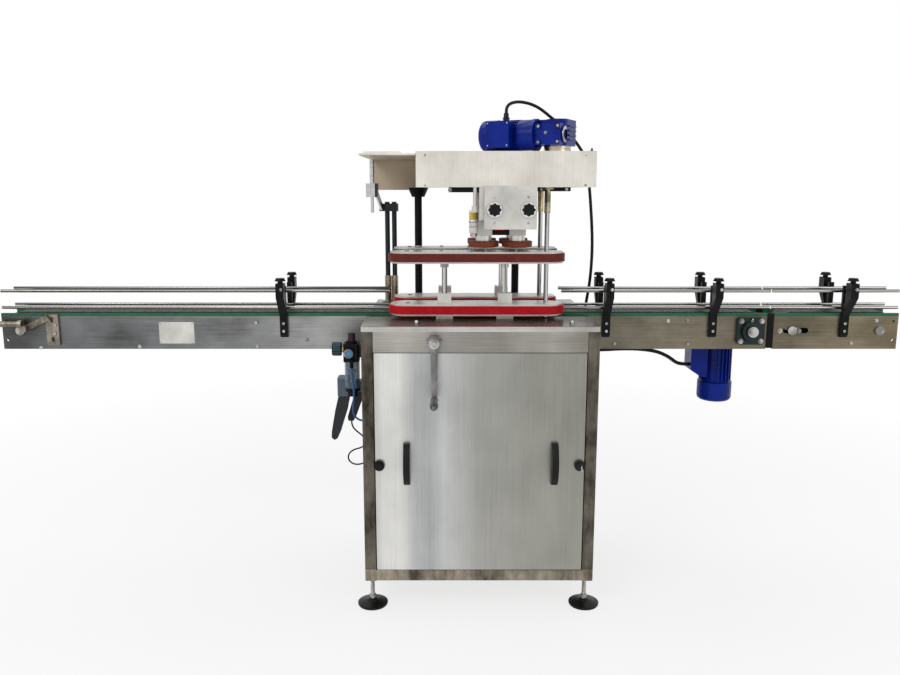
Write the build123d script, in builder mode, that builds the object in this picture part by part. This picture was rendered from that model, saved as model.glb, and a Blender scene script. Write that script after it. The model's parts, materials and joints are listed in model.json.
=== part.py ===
"""Linear screw capping machine on a slat conveyor.

X runs along the conveyor, Y runs away from the operator and Z is up. The origin
is on the floor, below the middle of the whole machine. All sizes are in
millimetres.
"""

import math
import os

from build123d import *

os.makedirs("parts", exist_ok=True)

# Cabinet and table
CABINET_LEFT = -259.0
CABINET_WIDTH = 695.0
CABINET_DEPTH = 600.0
CABINET_BOTTOM = 102.0
TABLE_TOP = 890.0
TABLE_RIM = 16.0
TABLE_SHEET = 4.0
TUBE = 35.0
TUBE_WALL = 2.0
TUBE_CORNER = 4.0
PANEL = 2.0
DOOR_TOP = 811.0
DOOR_GAP = 2.0
DOOR_RIM = 20.0
FASCIA_FLANGE = 30.0

# Feet
FOOT_RADIUS = 46.5
FOOT_HEIGHT = 20.0
STUD_RADIUS = 6.5
FOOT_INSET = 52.0

# Conveyor
CONVEYOR_SETBACK = 265.0
CONVEYOR_WIDTH = 105.0
CONVEYOR_LEFT = -1410.0
CONVEYOR_RIGHT = 997.0
OUTFEED_LEFT = 1019.0
OUTFEED_RIGHT = 1410.0
PLATE_HEIGHT = 105.0
PLATE_THICK = 3.0
PLATE_LIP = 10.0
CHAIN_TOP = 900.0
CHAIN_WIDTH = 82.5
SLAT_THICK = 4.0
SLAT_PITCH = 38.1
SLAT_GAP = 1.2
KNUCKLE_DEPTH = 7.0
KNUCKLE_WIDTH = 42.0
WRAP_RADIUS = 58.0
DRIVE_X = 944.0
TENSION_X = 1077.0
SHAFT_RADIUS = 12.5
AXLE_RADIUS = 8.0
RUNNING_FIT = 0.05
END_BOLT_RADIUS = 4.5
END_BOLT_SPACING = 60.0
END_BOLT_INSET = 15.0
SLOT_LENGTH = 80.0
SLOT_HEIGHT = 17.0

# Guide rails and their brackets
RAIL_RADIUS = 5.0
RAIL_SPACING = 80.0
RAIL_UPPER = 966.0
RAIL_LOWER = 913.5
RAIL_GAP_LEFT = -190.0
RAIL_GAP_RIGHT = 349.0
BRACKET_PLACES = (-521.0, 490.0, 824.0, 1237.0)
BRACKET_WIDTH = 24.0

# Crank and lift
CRANK_REACH = 130.0
CRANK_X = -45.0
CRANK_Z = 847.0
CRANK_ARM = 165.0
CRANK_SHAFT_RADIUS = 10.0
SCREW_SETBACK = 140.0
SCREW_RADIUS = 12.0
BEVEL_RADIUS = 24.0
BEVEL_CLEARANCE = 0.6
BEVEL_TEETH = 12
YOKE_Z = 600.0
YOKE_THICK = 30.0

# Columns
COLUMN_X = (-107.0, 222.0)
COLUMN_Y = 230.0
COLUMN_RADIUS = 12.5
FLANGE_RADIUS = 35.0
FLANGE_HEIGHT = 30.0

# Head
HEAD_LEFT = -101.0
HEAD_RIGHT = 430.0
HEAD_FRONT = -120.0
HEAD_DEPTH = 435.0
HEAD_BOTTOM = 1286.0
HEAD_HEIGHT = 104.0
HEAD_WALL = 3.0
HEAD_FLOOR = 8.0
BAY_LEFT = -267.0
BAY_TOP = 1384.0
BAY_SHEET = 6.0
BAY_SKIRT = 8.0

# Gearmotor on the head
GEARBOX_X = 342.0
GEARBOX_Y = 110.0
GEARBOX_TURN = -28.0
GEARBOX_HALF = 46.0
GEARBOX_HEIGHT = 80.0
WORM_OFFSET = 50.0
WORM_HALF = 40.0
WORM_DEPTH = 64.0
MOTOR_AXIS_Z = 33.5
SPIGOT_RADIUS = 43.0
SPIGOT_HEIGHT = 25.0
MOTOR_RADIUS = 50.0
MOTOR_LENGTH = 76.0
FAN_COVER_LENGTH = 58.0
FIN_HEIGHT = 5.0
FIN_WIDTH = 3.0

# Knob panel, carriages and spindles
PANEL_LEFT = 100.0
PANEL_RIGHT = 254.0
PANEL_BOTTOM = 1164.0
PANEL_Y = -150.0
PANEL_THICK = 8.0
REAR_HANGER_Y = 182.0
KNOB_X = (130.0, 229.0)
KNOB_Z = 1221.0
KNOB_RADIUS = 19.0
KNOB_DEPTH = 20.0
DIAL_RADIUS = 24.0
DIAL_THICK = 4.0
ADJUSTER_RADIUS = 5.0
GUIDE_ROD_X = (151.0, 208.0)
GUIDE_ROD_Z = 1257.0
GUIDE_ROD_RADIUS = 8.0
SPINDLE_X = (103.0, 205.0)
SPINDLE_ROW = 75.0
BLOCK_SIZE = 50.0
BLOCK_BOTTOM = 1142.0
CARRIAGE_BOTTOM = 1205.0
CARRIAGE_TOP = 1275.0
SPINDLE_RADIUS = 9.0
BOSS_RADIUS = 24.0
DISC_RADIUS = 46.5
DISC_BOTTOM = 1107.0
DISC_THICK = 18.0

# Side grip belts
GRIP_OFFSET = 94.0
PULLEY_LEFT = -132.0
PULLEY_RIGHT = 294.0
PULLEY_RADIUS = 49.7
BELT_INNER = 50.0
BELT_THICK = 6.0
BELT_HEIGHT = 24.0
GRIP_PLATE = 5.0
LOWER_PLATE_Z = 902.0
UPPER_PLATE_Z = 1060.0
GRIP_SHAFT_RADIUS = 7.0
GRIP_POST_X = (-17.0, 168.0)
GRIP_POST_RADIUS = 8.0
GRIP_SHAFT_TOP = 1340.0
BUSH_RADIUS = 9.5
BUSH_BOTTOM = 1209.0
CLAMP_WIDTH = 42.0
CLAMP_HEIGHT = 30.0

# Places worked out from the sizes above
FRONT_Y = CRANK_REACH - (CABINET_DEPTH + CRANK_REACH) / 2
REAR_Y = FRONT_Y + CABINET_DEPTH
CABINET_RIGHT = CABINET_LEFT + CABINET_WIDTH
CABINET_MID_X = (CABINET_LEFT + CABINET_RIGHT) / 2
CABINET_MID_Y = (FRONT_Y + REAR_Y) / 2
FRAME_TOP = TABLE_TOP - TABLE_RIM
CONVEYOR_Y = FRONT_Y + CONVEYOR_SETBACK
HALF_WIDTH = CONVEYOR_WIDTH / 2
PLATE_TOP = TABLE_TOP - 2
PLATE_BOTTOM = PLATE_TOP - PLATE_HEIGHT
SHAFT_Z = CHAIN_TOP - WRAP_RADIUS
HEAD_TOP = HEAD_BOTTOM + HEAD_HEIGHT
SCREW_Y = FRONT_Y + SCREW_SETBACK
MIDDLE = (Align.CENTER, Align.CENTER, Align.CENTER)
STANDING = (Align.CENTER, Align.CENTER, Align.MIN)


def block(x0, x1, y0, y1, z0, z1, mode=Mode.ADD):
    """Add a plain block between two corners to the part in hand."""
    with Locations(((x0 + x1) / 2, (y0 + y1) / 2, (z0 + z1) / 2)):
        Box(x1 - x0, y1 - y0, z1 - z0, mode=mode)


def rod_x(x0, x1, y, z, radius, mode=Mode.ADD):
    """Add a round bar along X."""
    with Locations(((x0 + x1) / 2, y, z)):
        Cylinder(radius, x1 - x0, rotation=(0, 90, 0), mode=mode)


def rod_y(y0, y1, x, z, radius, mode=Mode.ADD):
    """Add a round bar along Y."""
    with Locations((x, (y0 + y1) / 2, z)):
        Cylinder(radius, y1 - y0, rotation=(90, 0, 0), mode=mode)


def rod_z(z0, z1, x, y, radius, mode=Mode.ADD):
    """Add a round bar along Z."""
    with Locations((x, y, (z0 + z1) / 2)):
        Cylinder(radius, z1 - z0, mode=mode)


def frame_tube(plane, centre, length):
    """Add one square tube of the frame, drawn on a plane and run along its normal."""
    with BuildSketch(plane) as section:
        with Locations(centre):
            RectangleRounded(TUBE, TUBE, TUBE_CORNER)
            Rectangle(TUBE - 2 * TUBE_WALL, TUBE - 2 * TUBE_WALL, mode=Mode.SUBTRACT)
    extrude(section.sketch, amount=length)


# Cabinet frame: four posts, with rails butted between them
POST_X = (CABINET_LEFT + TUBE / 2, CABINET_RIGHT - TUBE / 2)
POST_Y = (FRONT_Y + TUBE / 2, REAR_Y - TUBE / 2)
CRADLE_Z = PLATE_BOTTOM - TUBE / 2
# How far the end of each rail is set into the wall of its post
WELD_BITE = 1.0
with BuildPart() as cabinet_frame:
    for post_x in POST_X:
        for post_y in POST_Y:
            frame_tube(Plane.XY.offset(CABINET_BOTTOM), (post_x, post_y), FRAME_TOP - CABINET_BOTTOM)
    for post_y in POST_Y:
        left_end = Plane.YZ.offset(CABINET_LEFT + TUBE - WELD_BITE)
        frame_tube(left_end, (post_y, CABINET_BOTTOM + TUBE / 2), CABINET_WIDTH - 2 * TUBE + 2 * WELD_BITE)
    frame_tube(left_end, (POST_Y[1], FRAME_TOP - TUBE / 2), CABINET_WIDTH - 2 * TUBE + 2 * WELD_BITE)
    front_end = Plane.ZX.offset(FRONT_Y + TUBE - WELD_BITE)
    behind_end = Plane.ZX.offset(CONVEYOR_Y + HALF_WIDTH + TUBE / 2)
    for post_x in POST_X:
        for rail_z in (CABINET_BOTTOM + TUBE / 2, CRADLE_Z):
            frame_tube(front_end, (rail_z, post_x), CABINET_DEPTH - 2 * TUBE + 2 * WELD_BITE)
        frame_tube(front_end, (FRAME_TOP - TUBE / 2, post_x),
                   CONVEYOR_SETBACK - HALF_WIDTH - TUBE - TUBE / 2 + WELD_BITE)
        frame_tube(behind_end, (FRAME_TOP - TUBE / 2, post_x),
                   REAR_Y - TUBE - CONVEYOR_Y - HALF_WIDTH - TUBE / 2 + WELD_BITE)
    # Bracket under the table that carries the crank shaft and the lifting screw
    block(CRANK_X - 35, CRANK_X + 35, SCREW_Y - 50, SCREW_Y - 40, PLATE_BOTTOM + 7, TABLE_TOP - TABLE_SHEET)
    block(CRANK_X - 35, CRANK_X + 35, SCREW_Y - 40, SCREW_Y + 35, PLATE_BOTTOM + 7, PLATE_BOTTOM + 22)
    rod_y(SCREW_Y - 51, SCREW_Y - 39, CRANK_X, CRANK_Z, CRANK_SHAFT_RADIUS + RUNNING_FIT, Mode.SUBTRACT)
    rod_z(PLATE_BOTTOM, PLATE_BOTTOM + 30, CRANK_X, SCREW_Y, CRANK_SHAFT_RADIUS + RUNNING_FIT, Mode.SUBTRACT)
cabinet_frame.part.label = "cabinet_frame"
export_step(cabinet_frame.part, "parts/cabinet_frame.step")

# Cabinet panels: fascia channel, two sides with a way through for the conveyor, back and floor
SIDE_FRONT = FRONT_Y + TUBE
SIDE_BACK = REAR_Y - TUBE
WAY_HALF = HALF_WIDTH + 3
with BuildPart() as cabinet_panels:
    with BuildSketch(Plane.YZ.offset(CABINET_LEFT + TUBE)):
        with Locations((FRONT_Y, DOOR_TOP + DOOR_GAP)):
            Rectangle(FASCIA_FLANGE, FRAME_TOP - DOOR_TOP - DOOR_GAP, align=(Align.MIN, Align.MIN))
        with Locations((FRONT_Y + PANEL, DOOR_TOP + DOOR_GAP + PANEL)):
            Rectangle(FASCIA_FLANGE, FRAME_TOP - DOOR_TOP - DOOR_GAP - 2 * PANEL,
                      align=(Align.MIN, Align.MIN), mode=Mode.SUBTRACT)
    extrude(amount=CABINET_WIDTH - 2 * TUBE)
    rod_y(FRONT_Y - 1, FRONT_Y + PANEL + 1, CRANK_X, CRANK_Z, CRANK_SHAFT_RADIUS + 0.6, Mode.SUBTRACT)
    for side_x in (CABINET_LEFT, CABINET_RIGHT - PANEL):
        block(side_x, side_x + PANEL, SIDE_FRONT, SIDE_BACK, CABINET_BOTTOM + TUBE, PLATE_BOTTOM - TUBE)
        for y_start, y_end in ((SIDE_FRONT, CONVEYOR_Y - WAY_HALF), (CONVEYOR_Y + WAY_HALF, SIDE_BACK)):
            block(side_x, side_x + PANEL, y_start, y_end, PLATE_BOTTOM, FRAME_TOP - TUBE)
    block(CABINET_LEFT + TUBE, CABINET_RIGHT - TUBE, REAR_Y - PANEL, REAR_Y,
          CABINET_BOTTOM + TUBE, FRAME_TOP - TUBE)
    block(CABINET_LEFT + TUBE, CABINET_RIGHT - TUBE, FRONT_Y + TUBE, REAR_Y - TUBE,
          CABINET_BOTTOM, CABINET_BOTTOM + PANEL)
cabinet_panels.part.label = "cabinet_panels"
export_step(cabinet_panels.part, "parts/cabinet_panels.step")

# Table: two folded trays turned over, in front of the conveyor and behind it
TABLE_HALVES = (
    (FRONT_Y, CONVEYOR_Y - HALF_WIDTH - 1.5),
    (CONVEYOR_Y + HALF_WIDTH + 1.5, REAR_Y),
)
with BuildPart() as table_plates:
    for y_start, y_end in TABLE_HALVES:
        with BuildSketch(Plane.XY.offset(FRAME_TOP)):
            with Locations((CABINET_MID_X, (y_start + y_end) / 2)):
                RectangleRounded(CABINET_WIDTH, y_end - y_start, 5)
        extrude(amount=TABLE_RIM)
        block(CABINET_LEFT + 3, CABINET_RIGHT - 3, y_start + 3, y_end - 3,
              FRAME_TOP, TABLE_TOP - TABLE_SHEET, Mode.SUBTRACT)
    for column_x in COLUMN_X:
        rod_z(FRAME_TOP, TABLE_TOP + 1, column_x, COLUMN_Y, COLUMN_RADIUS + 1.5, Mode.SUBTRACT)
table_plates.part.label = "table_plates"
export_step(table_plates.part, "parts/table_plates.step")

# Levelling feet: round pads that swivel on threaded studs
FOOT_PLACES = [(x, y) for x in POST_X for y in (FRONT_Y + FOOT_INSET, REAR_Y - FOOT_INSET)]
with BuildPart() as foot_pads:
    for foot_x, foot_y in FOOT_PLACES:
        with BuildSketch(Plane.XZ.offset(-foot_y)):
            with BuildLine():
                Polyline((foot_x, 0), (foot_x + FOOT_RADIUS - 2, 0), (foot_x + FOOT_RADIUS, 3),
                         (foot_x + FOOT_RADIUS, 8), (foot_x + 18, 15), (foot_x + 13, FOOT_HEIGHT),
                         (foot_x, FOOT_HEIGHT), (foot_x, 0))
            make_face()
        revolve(axis=Axis((foot_x, foot_y, 0), (0, 0, 1)))
foot_pads.part.label = "foot_pads"
export_step(foot_pads.part, "parts/foot_pads.step")

with BuildPart() as foot_studs:
    for foot_x, foot_y in FOOT_PLACES:
        rod_z(FOOT_HEIGHT, CABINET_BOTTOM, foot_x, foot_y, STUD_RADIUS)
        with BuildSketch(Plane.XY.offset(FOOT_HEIGHT + 4)):
            with Locations((foot_x, foot_y)):
                RegularPolygon(11, 6)
        extrude(amount=9)
        with BuildSketch(Plane.XY.offset(CABINET_BOTTOM - 10)):
            with Locations((foot_x, foot_y)):
                RegularPolygon(12, 6)
        extrude(amount=10)
foot_studs.part.label = "foot_studs"
export_step(foot_studs.part, "parts/foot_studs.step")

# Conveyor side plates: folded channels, with bores for the shafts and end bolts
CONVEYOR_RUNS = ((CONVEYOR_LEFT, CONVEYOR_RIGHT), (OUTFEED_LEFT, OUTFEED_RIGHT))
IDLER_PLACES = (CONVEYOR_LEFT + WRAP_RADIUS, TENSION_X, OUTFEED_RIGHT - WRAP_RADIUS)
BEARING_BORE = SHAFT_RADIUS + 1
with BuildPart() as conveyor_sides:
    for side in (-1, 1):
        outer = CONVEYOR_Y + side * HALF_WIDTH
        for run_start, run_end in CONVEYOR_RUNS:
            with BuildSketch(Plane.YZ.offset(run_start)):
                with BuildLine():
                    Polyline((outer, PLATE_BOTTOM), (outer, PLATE_TOP),
                             (outer - side * PLATE_THICK, PLATE_TOP),
                             (outer - side * PLATE_THICK, PLATE_BOTTOM + PLATE_THICK),
                             (outer - side * PLATE_LIP, PLATE_BOTTOM + PLATE_THICK),
                             (outer - side * PLATE_LIP, PLATE_BOTTOM), (outer, PLATE_BOTTOM))
                make_face()
            extrude(amount=run_end - run_start)
    rod_y(CONVEYOR_Y - HALF_WIDTH - 1, CONVEYOR_Y + HALF_WIDTH + 1, DRIVE_X, SHAFT_Z,
          BEARING_BORE, Mode.SUBTRACT)
    rod_y(CONVEYOR_Y - HALF_WIDTH - 1, CONVEYOR_Y + HALF_WIDTH + 1, IDLER_PLACES[0], SHAFT_Z,
          AXLE_RADIUS, Mode.SUBTRACT)
    rod_y(CONVEYOR_Y - HALF_WIDTH - 1, CONVEYOR_Y + HALF_WIDTH + 1, IDLER_PLACES[2], SHAFT_Z,
          AXLE_RADIUS, Mode.SUBTRACT)
    with BuildSketch(Plane.XZ.offset(-CONVEYOR_Y)):
        with Locations((TENSION_X + 12, SHAFT_Z)):
            SlotOverall(SLOT_LENGTH, SLOT_HEIGHT)
    extrude(amount=HALF_WIDTH + 1, both=True, mode=Mode.SUBTRACT)
    for end_x in (CONVEYOR_LEFT + END_BOLT_INSET, OUTFEED_RIGHT - END_BOLT_INSET):
        for bolt_z in (SHAFT_Z - END_BOLT_SPACING / 2, SHAFT_Z + END_BOLT_SPACING / 2):
            rod_y(CONVEYOR_Y - HALF_WIDTH - 1, CONVEYOR_Y + HALF_WIDTH + 1, end_x, bolt_z,
                  END_BOLT_RADIUS, Mode.SUBTRACT)
conveyor_sides.part.label = "conveyor_sides"
export_step(conveyor_sides.part, "parts/conveyor_sides.step")

# Wear strips: a green profile clipped on the top edge, with a shelf under the slats
STRIP_TOP = CHAIN_TOP - 3
SHELF_TOP = CHAIN_TOP - SLAT_THICK
with BuildPart() as wear_strips:
    for side in (-1, 1):
        outer = CONVEYOR_Y + side * HALF_WIDTH
        for run_start, run_end in CONVEYOR_RUNS:
            with BuildSketch(Plane.YZ.offset(run_start)):
                with BuildLine():
                    Polyline((outer, PLATE_TOP), (outer, STRIP_TOP),
                             (outer - side * 10.5, STRIP_TOP), (outer - side * 10.5, SHELF_TOP),
                             (outer - side * 26, SHELF_TOP), (outer - side * 26, SHELF_TOP - 5),
                             (outer - side * 9, SHELF_TOP - 5), (outer - side * 9, PLATE_TOP - 22),
                             (outer - side * PLATE_THICK, PLATE_TOP - 22),
                             (outer - side * PLATE_THICK, PLATE_TOP), (outer, PLATE_TOP))
                make_face()
            extrude(amount=run_end - run_start)
    # The shelf stops short of the wheels at the ends
    for wheel_x in (*IDLER_PLACES, DRIVE_X):
        block(wheel_x - WRAP_RADIUS - 3, wheel_x + WRAP_RADIUS + 3, CONVEYOR_Y - HALF_WIDTH + 9,
              CONVEYOR_Y + HALF_WIDTH - 9, SHELF_TOP - 25, STRIP_TOP + 5, Mode.SUBTRACT)
wear_strips.part.label = "wear_strips"
export_step(wear_strips.part, "parts/wear_strips.step")

# Slat chains: a loop of slats with hinge knuckles inside, cut by a gap at every pitch
CHAIN_RUNS = ((IDLER_PLACES[0], DRIVE_X), (TENSION_X, IDLER_PLACES[2]))
with BuildPart() as slat_chains:
    for wheel_left, wheel_right in CHAIN_RUNS:
        for loop_width, inner in ((CHAIN_WIDTH, SLAT_THICK), (KNUCKLE_WIDTH, KNUCKLE_DEPTH)):
            with BuildSketch(Plane.XZ.offset(-CONVEYOR_Y)):
                with Locations(((wheel_left + wheel_right) / 2, SHAFT_Z)):
                    SlotCenterToCenter(wheel_right - wheel_left, 2 * WRAP_RADIUS)
                    SlotCenterToCenter(wheel_right - wheel_left, 2 * (WRAP_RADIUS - inner),
                                       mode=Mode.SUBTRACT)
            extrude(amount=loop_width / 2, both=True)
        slats = int((wheel_right - wheel_left) // SLAT_PITCH)
        spare = (wheel_right - wheel_left - slats * SLAT_PITCH) / 2
        with Locations(*[(wheel_left + spare + i * SLAT_PITCH, CONVEYOR_Y, SHAFT_Z + end * WRAP_RADIUS)
                         for i in range(slats + 1) for end in (-1, 1)]):
            Box(SLAT_GAP, CHAIN_WIDTH + 2, 2 * (SLAT_THICK - 1), mode=Mode.SUBTRACT)
slat_chains.part.label = "slat_chains"
export_step(slat_chains.part, "parts/slat_chains.step")

# Spacers that tie the side plates, and the black blocks that join the two conveyors
SPACER_PLACES = (-1250, -950, -650, -330, 0, 300, 560, 800, 1210)
with BuildPart() as conveyor_spacers:
    for spacer_x in SPACER_PLACES:
        rod_y(CONVEYOR_Y - HALF_WIDTH + PLATE_THICK, CONVEYOR_Y + HALF_WIDTH - PLATE_THICK,
              spacer_x, SHAFT_Z, 9)
    for side in (-1, 1):
        inner = CONVEYOR_Y + side * (HALF_WIDTH - 6)
        outer = CONVEYOR_Y + side * (HALF_WIDTH + 1)
        block(CONVEYOR_RIGHT, OUTFEED_LEFT, min(inner, outer), max(inner, outer),
              PLATE_BOTTOM + 3, STRIP_TOP)
conveyor_spacers.part.label = "conveyor_spacers"
export_step(conveyor_spacers.part, "parts/conveyor_spacers.step")

# Four-bolt flange bearing on the front plate, where the drive shaft comes through
BEARING_SIDE = 86.0
BEARING_FACE = CONVEYOR_Y - HALF_WIDTH
with BuildPart() as flange_bearing:
    with BuildSketch(Plane.XZ.offset(-BEARING_FACE)):
        with Locations((DRIVE_X, SHAFT_Z)):
            RectangleRounded(BEARING_SIDE, BEARING_SIDE, 12)
            with GridLocations(64, 64, 2, 2):
                Circle(5, mode=Mode.SUBTRACT)
    extrude(amount=14)
    with BuildSketch(Plane.XZ.offset(-BEARING_FACE + 14)):
        with Locations((DRIVE_X, SHAFT_Z)):
            Circle(33)
    extrude(amount=14, taper=12)
    rod_y(BEARING_FACE - 34, BEARING_FACE, DRIVE_X, SHAFT_Z, 20)
    rod_y(BEARING_FACE - 36, BEARING_FACE + 1, DRIVE_X, SHAFT_Z, SHAFT_RADIUS + RUNNING_FIT, Mode.SUBTRACT)
flange_bearing.part.label = "flange_bearing"
export_step(flange_bearing.part, "parts/flange_bearing.step")


def sprocket(x, radius):
    """Add a toothed wheel on a Y axis, with a rounded gap for each knuckle."""
    with BuildSketch(Plane.XZ.offset(-CONVEYOR_Y)) as wheel:
        with Locations((x, SHAFT_Z)):
            Circle(radius)
            with PolarLocations(radius + 2, 9):
                Circle(6, mode=Mode.SUBTRACT)
    extrude(wheel.sketch, amount=15, both=True)


# Conveyor shafts: the driven one turns in its bearing, the others idle between the plates
WHEEL_RADIUS = WRAP_RADIUS - SLAT_THICK - KNUCKLE_DEPTH - 1
with BuildPart() as conveyor_shaft:
    sprocket(DRIVE_X, WHEEL_RADIUS)
    rod_y(CONVEYOR_Y - 26, CONVEYOR_Y + 26, DRIVE_X, SHAFT_Z, 20)
    rod_y(BEARING_FACE - 44, CONVEYOR_Y + HALF_WIDTH + 72, DRIVE_X, SHAFT_Z, SHAFT_RADIUS)
conveyor_shaft.part.label = "conveyor_shaft"
export_step(conveyor_shaft.part, "parts/conveyor_shaft.step")

with BuildPart() as idler_shafts:
    for idler_x in IDLER_PLACES:
        sprocket(idler_x, WHEEL_RADIUS)
        rod_y(CONVEYOR_Y - 26, CONVEYOR_Y + 26, idler_x, SHAFT_Z, 18)
        rod_y(CONVEYOR_Y - HALF_WIDTH - 4, CONVEYOR_Y + HALF_WIDTH + 4, idler_x, SHAFT_Z, AXLE_RADIUS)
        for y_face in (CONVEYOR_Y - HALF_WIDTH - 7, CONVEYOR_Y + HALF_WIDTH):
            rod_y(y_face, y_face + 7, idler_x, SHAFT_Z, 14)
idler_shafts.part.label = "idler_shafts"
export_step(idler_shafts.part, "parts/idler_shafts.step")

# Guide rails: upper and lower round bars on both sides, in three lengths
RAIL_LENGTHS = (
    (CONVEYOR_LEFT, RAIL_GAP_LEFT),
    (RAIL_GAP_RIGHT, CONVEYOR_RIGHT + 10),
    (OUTFEED_LEFT - 6, OUTFEED_RIGHT),
)
with BuildPart() as guide_rails:
    for side in (-1, 1):
        for rail_z in (RAIL_UPPER, RAIL_LOWER):
            for rail_start, rail_end in RAIL_LENGTHS:
                rod_x(rail_start, rail_end, CONVEYOR_Y + side * RAIL_SPACING / 2, rail_z, RAIL_RADIUS)
guide_rails.part.label = "guide_rails"
export_step(guide_rails.part, "parts/guide_rails.step")

# Rail brackets: a black arm leans out from the side plate and carries a clamped cross rod
CLAMP_OUT = 34.0
with BuildPart() as rail_brackets:
    for side in (-1, 1):
        face = CONVEYOR_Y + side * HALF_WIDTH
        for bracket_x in BRACKET_PLACES:
            with BuildSketch(Plane.YZ.offset(bracket_x - BRACKET_WIDTH / 2)):
                with BuildLine():
                    Polyline((face, 822), (face, 894), (face + side * 24, 938), (face + side * 24, 996),
                             (face + side * 60, 996), (face + side * 60, 952), (face + side * 12, 892),
                             (face + side * 12, 830), (face + side * 6, 822), (face, 822))
                make_face()
            extrude(amount=BRACKET_WIDTH)
            rod_z(994, 1003, bracket_x, face + side * (CLAMP_OUT + 8), 8)
            with BuildSketch(Plane.XY.offset(1003)):
                with Locations((bracket_x, face + side * (CLAMP_OUT + 8))):
                    Circle(17)
            extrude(amount=9, taper=25)
            # Cross rod and the small block that holds both rails
            rail_back = CONVEYOR_Y + side * (RAIL_SPACING / 2 + RAIL_RADIUS)
            y_pair = sorted((rail_back, rail_back + side * 10))
            block(bracket_x - 8, bracket_x + 8, y_pair[0], y_pair[1], RAIL_LOWER - 6, RAIL_UPPER + 18)
            y_pair = sorted((rail_back + side * 5, face + side * 30))
            rod_y(y_pair[0], y_pair[1], bracket_x, RAIL_UPPER + 9, 6)
rail_brackets.part.label = "rail_brackets"
export_step(rail_brackets.part, "parts/rail_brackets.step")

# Conveyor gearmotor: a worm gearbox on the rear plate, with its motor hanging below
MOTOR_X = DRIVE_X - 50
MOTOR_Y = CONVEYOR_Y + HALF_WIDTH + 37
MOTOR_BOTTOM = 581.0
with BuildPart() as conveyor_gearmotor:
    rod_y(MOTOR_Y - 34, MOTOR_Y + 34, DRIVE_X, SHAFT_Z, 46)
    rod_y(CONVEYOR_Y + HALF_WIDTH + 1, CONVEYOR_Y + HALF_WIDTH + 4, DRIVE_X, SHAFT_Z, 38)
    rod_z(SHAFT_Z - 60, SHAFT_Z + 40, MOTOR_X, MOTOR_Y, 30)
    block(MOTOR_X - 45, MOTOR_X + 45, MOTOR_Y - 34, MOTOR_Y + 45, SHAFT_Z - 70, SHAFT_Z - 58)
    rod_z(645, SHAFT_Z - 70, MOTOR_X, MOTOR_Y + 15, 44)
    with BuildSketch(Plane.XY.offset(650)):
        with Locations((MOTOR_X, MOTOR_Y + 15)):
            with PolarLocations(46, 22):
                Rectangle(12, 3.5)
    extrude(amount=112)
    with BuildSketch(Plane.XZ.offset(-MOTOR_Y - 15)):
        with BuildLine():
            Polyline((MOTOR_X, MOTOR_BOTTOM), (MOTOR_X + 44, MOTOR_BOTTOM))
            RadiusArc((MOTOR_X + 44, MOTOR_BOTTOM), (MOTOR_X + 56, MOTOR_BOTTOM + 14), -14)
            Polyline((MOTOR_X + 56, MOTOR_BOTTOM + 14), (MOTOR_X + 56, 645), (MOTOR_X, 645),
                     (MOTOR_X, MOTOR_BOTTOM))
        make_face()
    revolve(axis=Axis((MOTOR_X, MOTOR_Y + 15, 0), (0, 0, 1)))
    # Terminal box on the left side, with a sloping bottom
    with BuildSketch(Plane.XZ.offset(-MOTOR_Y + 30)):
        with BuildLine():
            Polyline((MOTOR_X - 40, 772), (MOTOR_X - 96, 772), (MOTOR_X - 96, 690), (MOTOR_X - 60, 666),
                     (MOTOR_X - 40, 666), (MOTOR_X - 40, 772))
        make_face()
    extrude(amount=-75)
    rod_y(CONVEYOR_Y + HALF_WIDTH, MOTOR_Y + 36, DRIVE_X, SHAFT_Z, SHAFT_RADIUS + RUNNING_FIT, Mode.SUBTRACT)
conveyor_gearmotor.part.label = "conveyor_gearmotor"
export_step(conveyor_gearmotor.part, "parts/conveyor_gearmotor.step")


def cord_radii(points):
    """Give each corner of a cord's route an arc as large as its two runs allow."""
    radii = []
    for before, corner, after in zip(points, points[1:], points[2:]):
        run_in = Vector(corner) - Vector(before)
        run_out = Vector(after) - Vector(corner)
        half_turn = math.radians(run_in.get_angle(run_out)) / 2
        radii.append(0.45 * min(run_in.length, run_out.length) / math.tan(half_turn))
    print("cord radii", [round(r, 1) for r in radii])
    return radii


def cord_tube(points, radius):
    """Add a round cord that follows a route of straight runs joined by arcs."""
    with BuildLine() as route:
        FilletPolyline(*points, radius=cord_radii(points))
    start = Vector(points[0])
    direction = Vector(points[1]) - start
    with BuildSketch(Plane(origin=start, z_dir=direction)) as section:
        Circle(radius)
    sweep(section.sketch, path=route.wire())


# Conduit from the cabinet's right side, under the conveyor, to the motor's terminal box
CONDUIT_RADIUS = 6.0
CONDUIT_POINTS = [
    (CABINET_RIGHT, 60, 764), (498, 60, 764), (562, 61, 768), (624, 65, 766), (680, 75, 756),
    (722, 90, 736), (750, 104, 714), (772, MOTOR_Y - 5, 705), (MOTOR_X - 96, MOTOR_Y - 5, 705),
]
with BuildPart() as conveyor_conduit:
    cord_tube(CONDUIT_POINTS, CONDUIT_RADIUS)
conveyor_conduit.part.label = "conveyor_conduit"
export_step(conveyor_conduit.part, "parts/conveyor_conduit.step")

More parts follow.
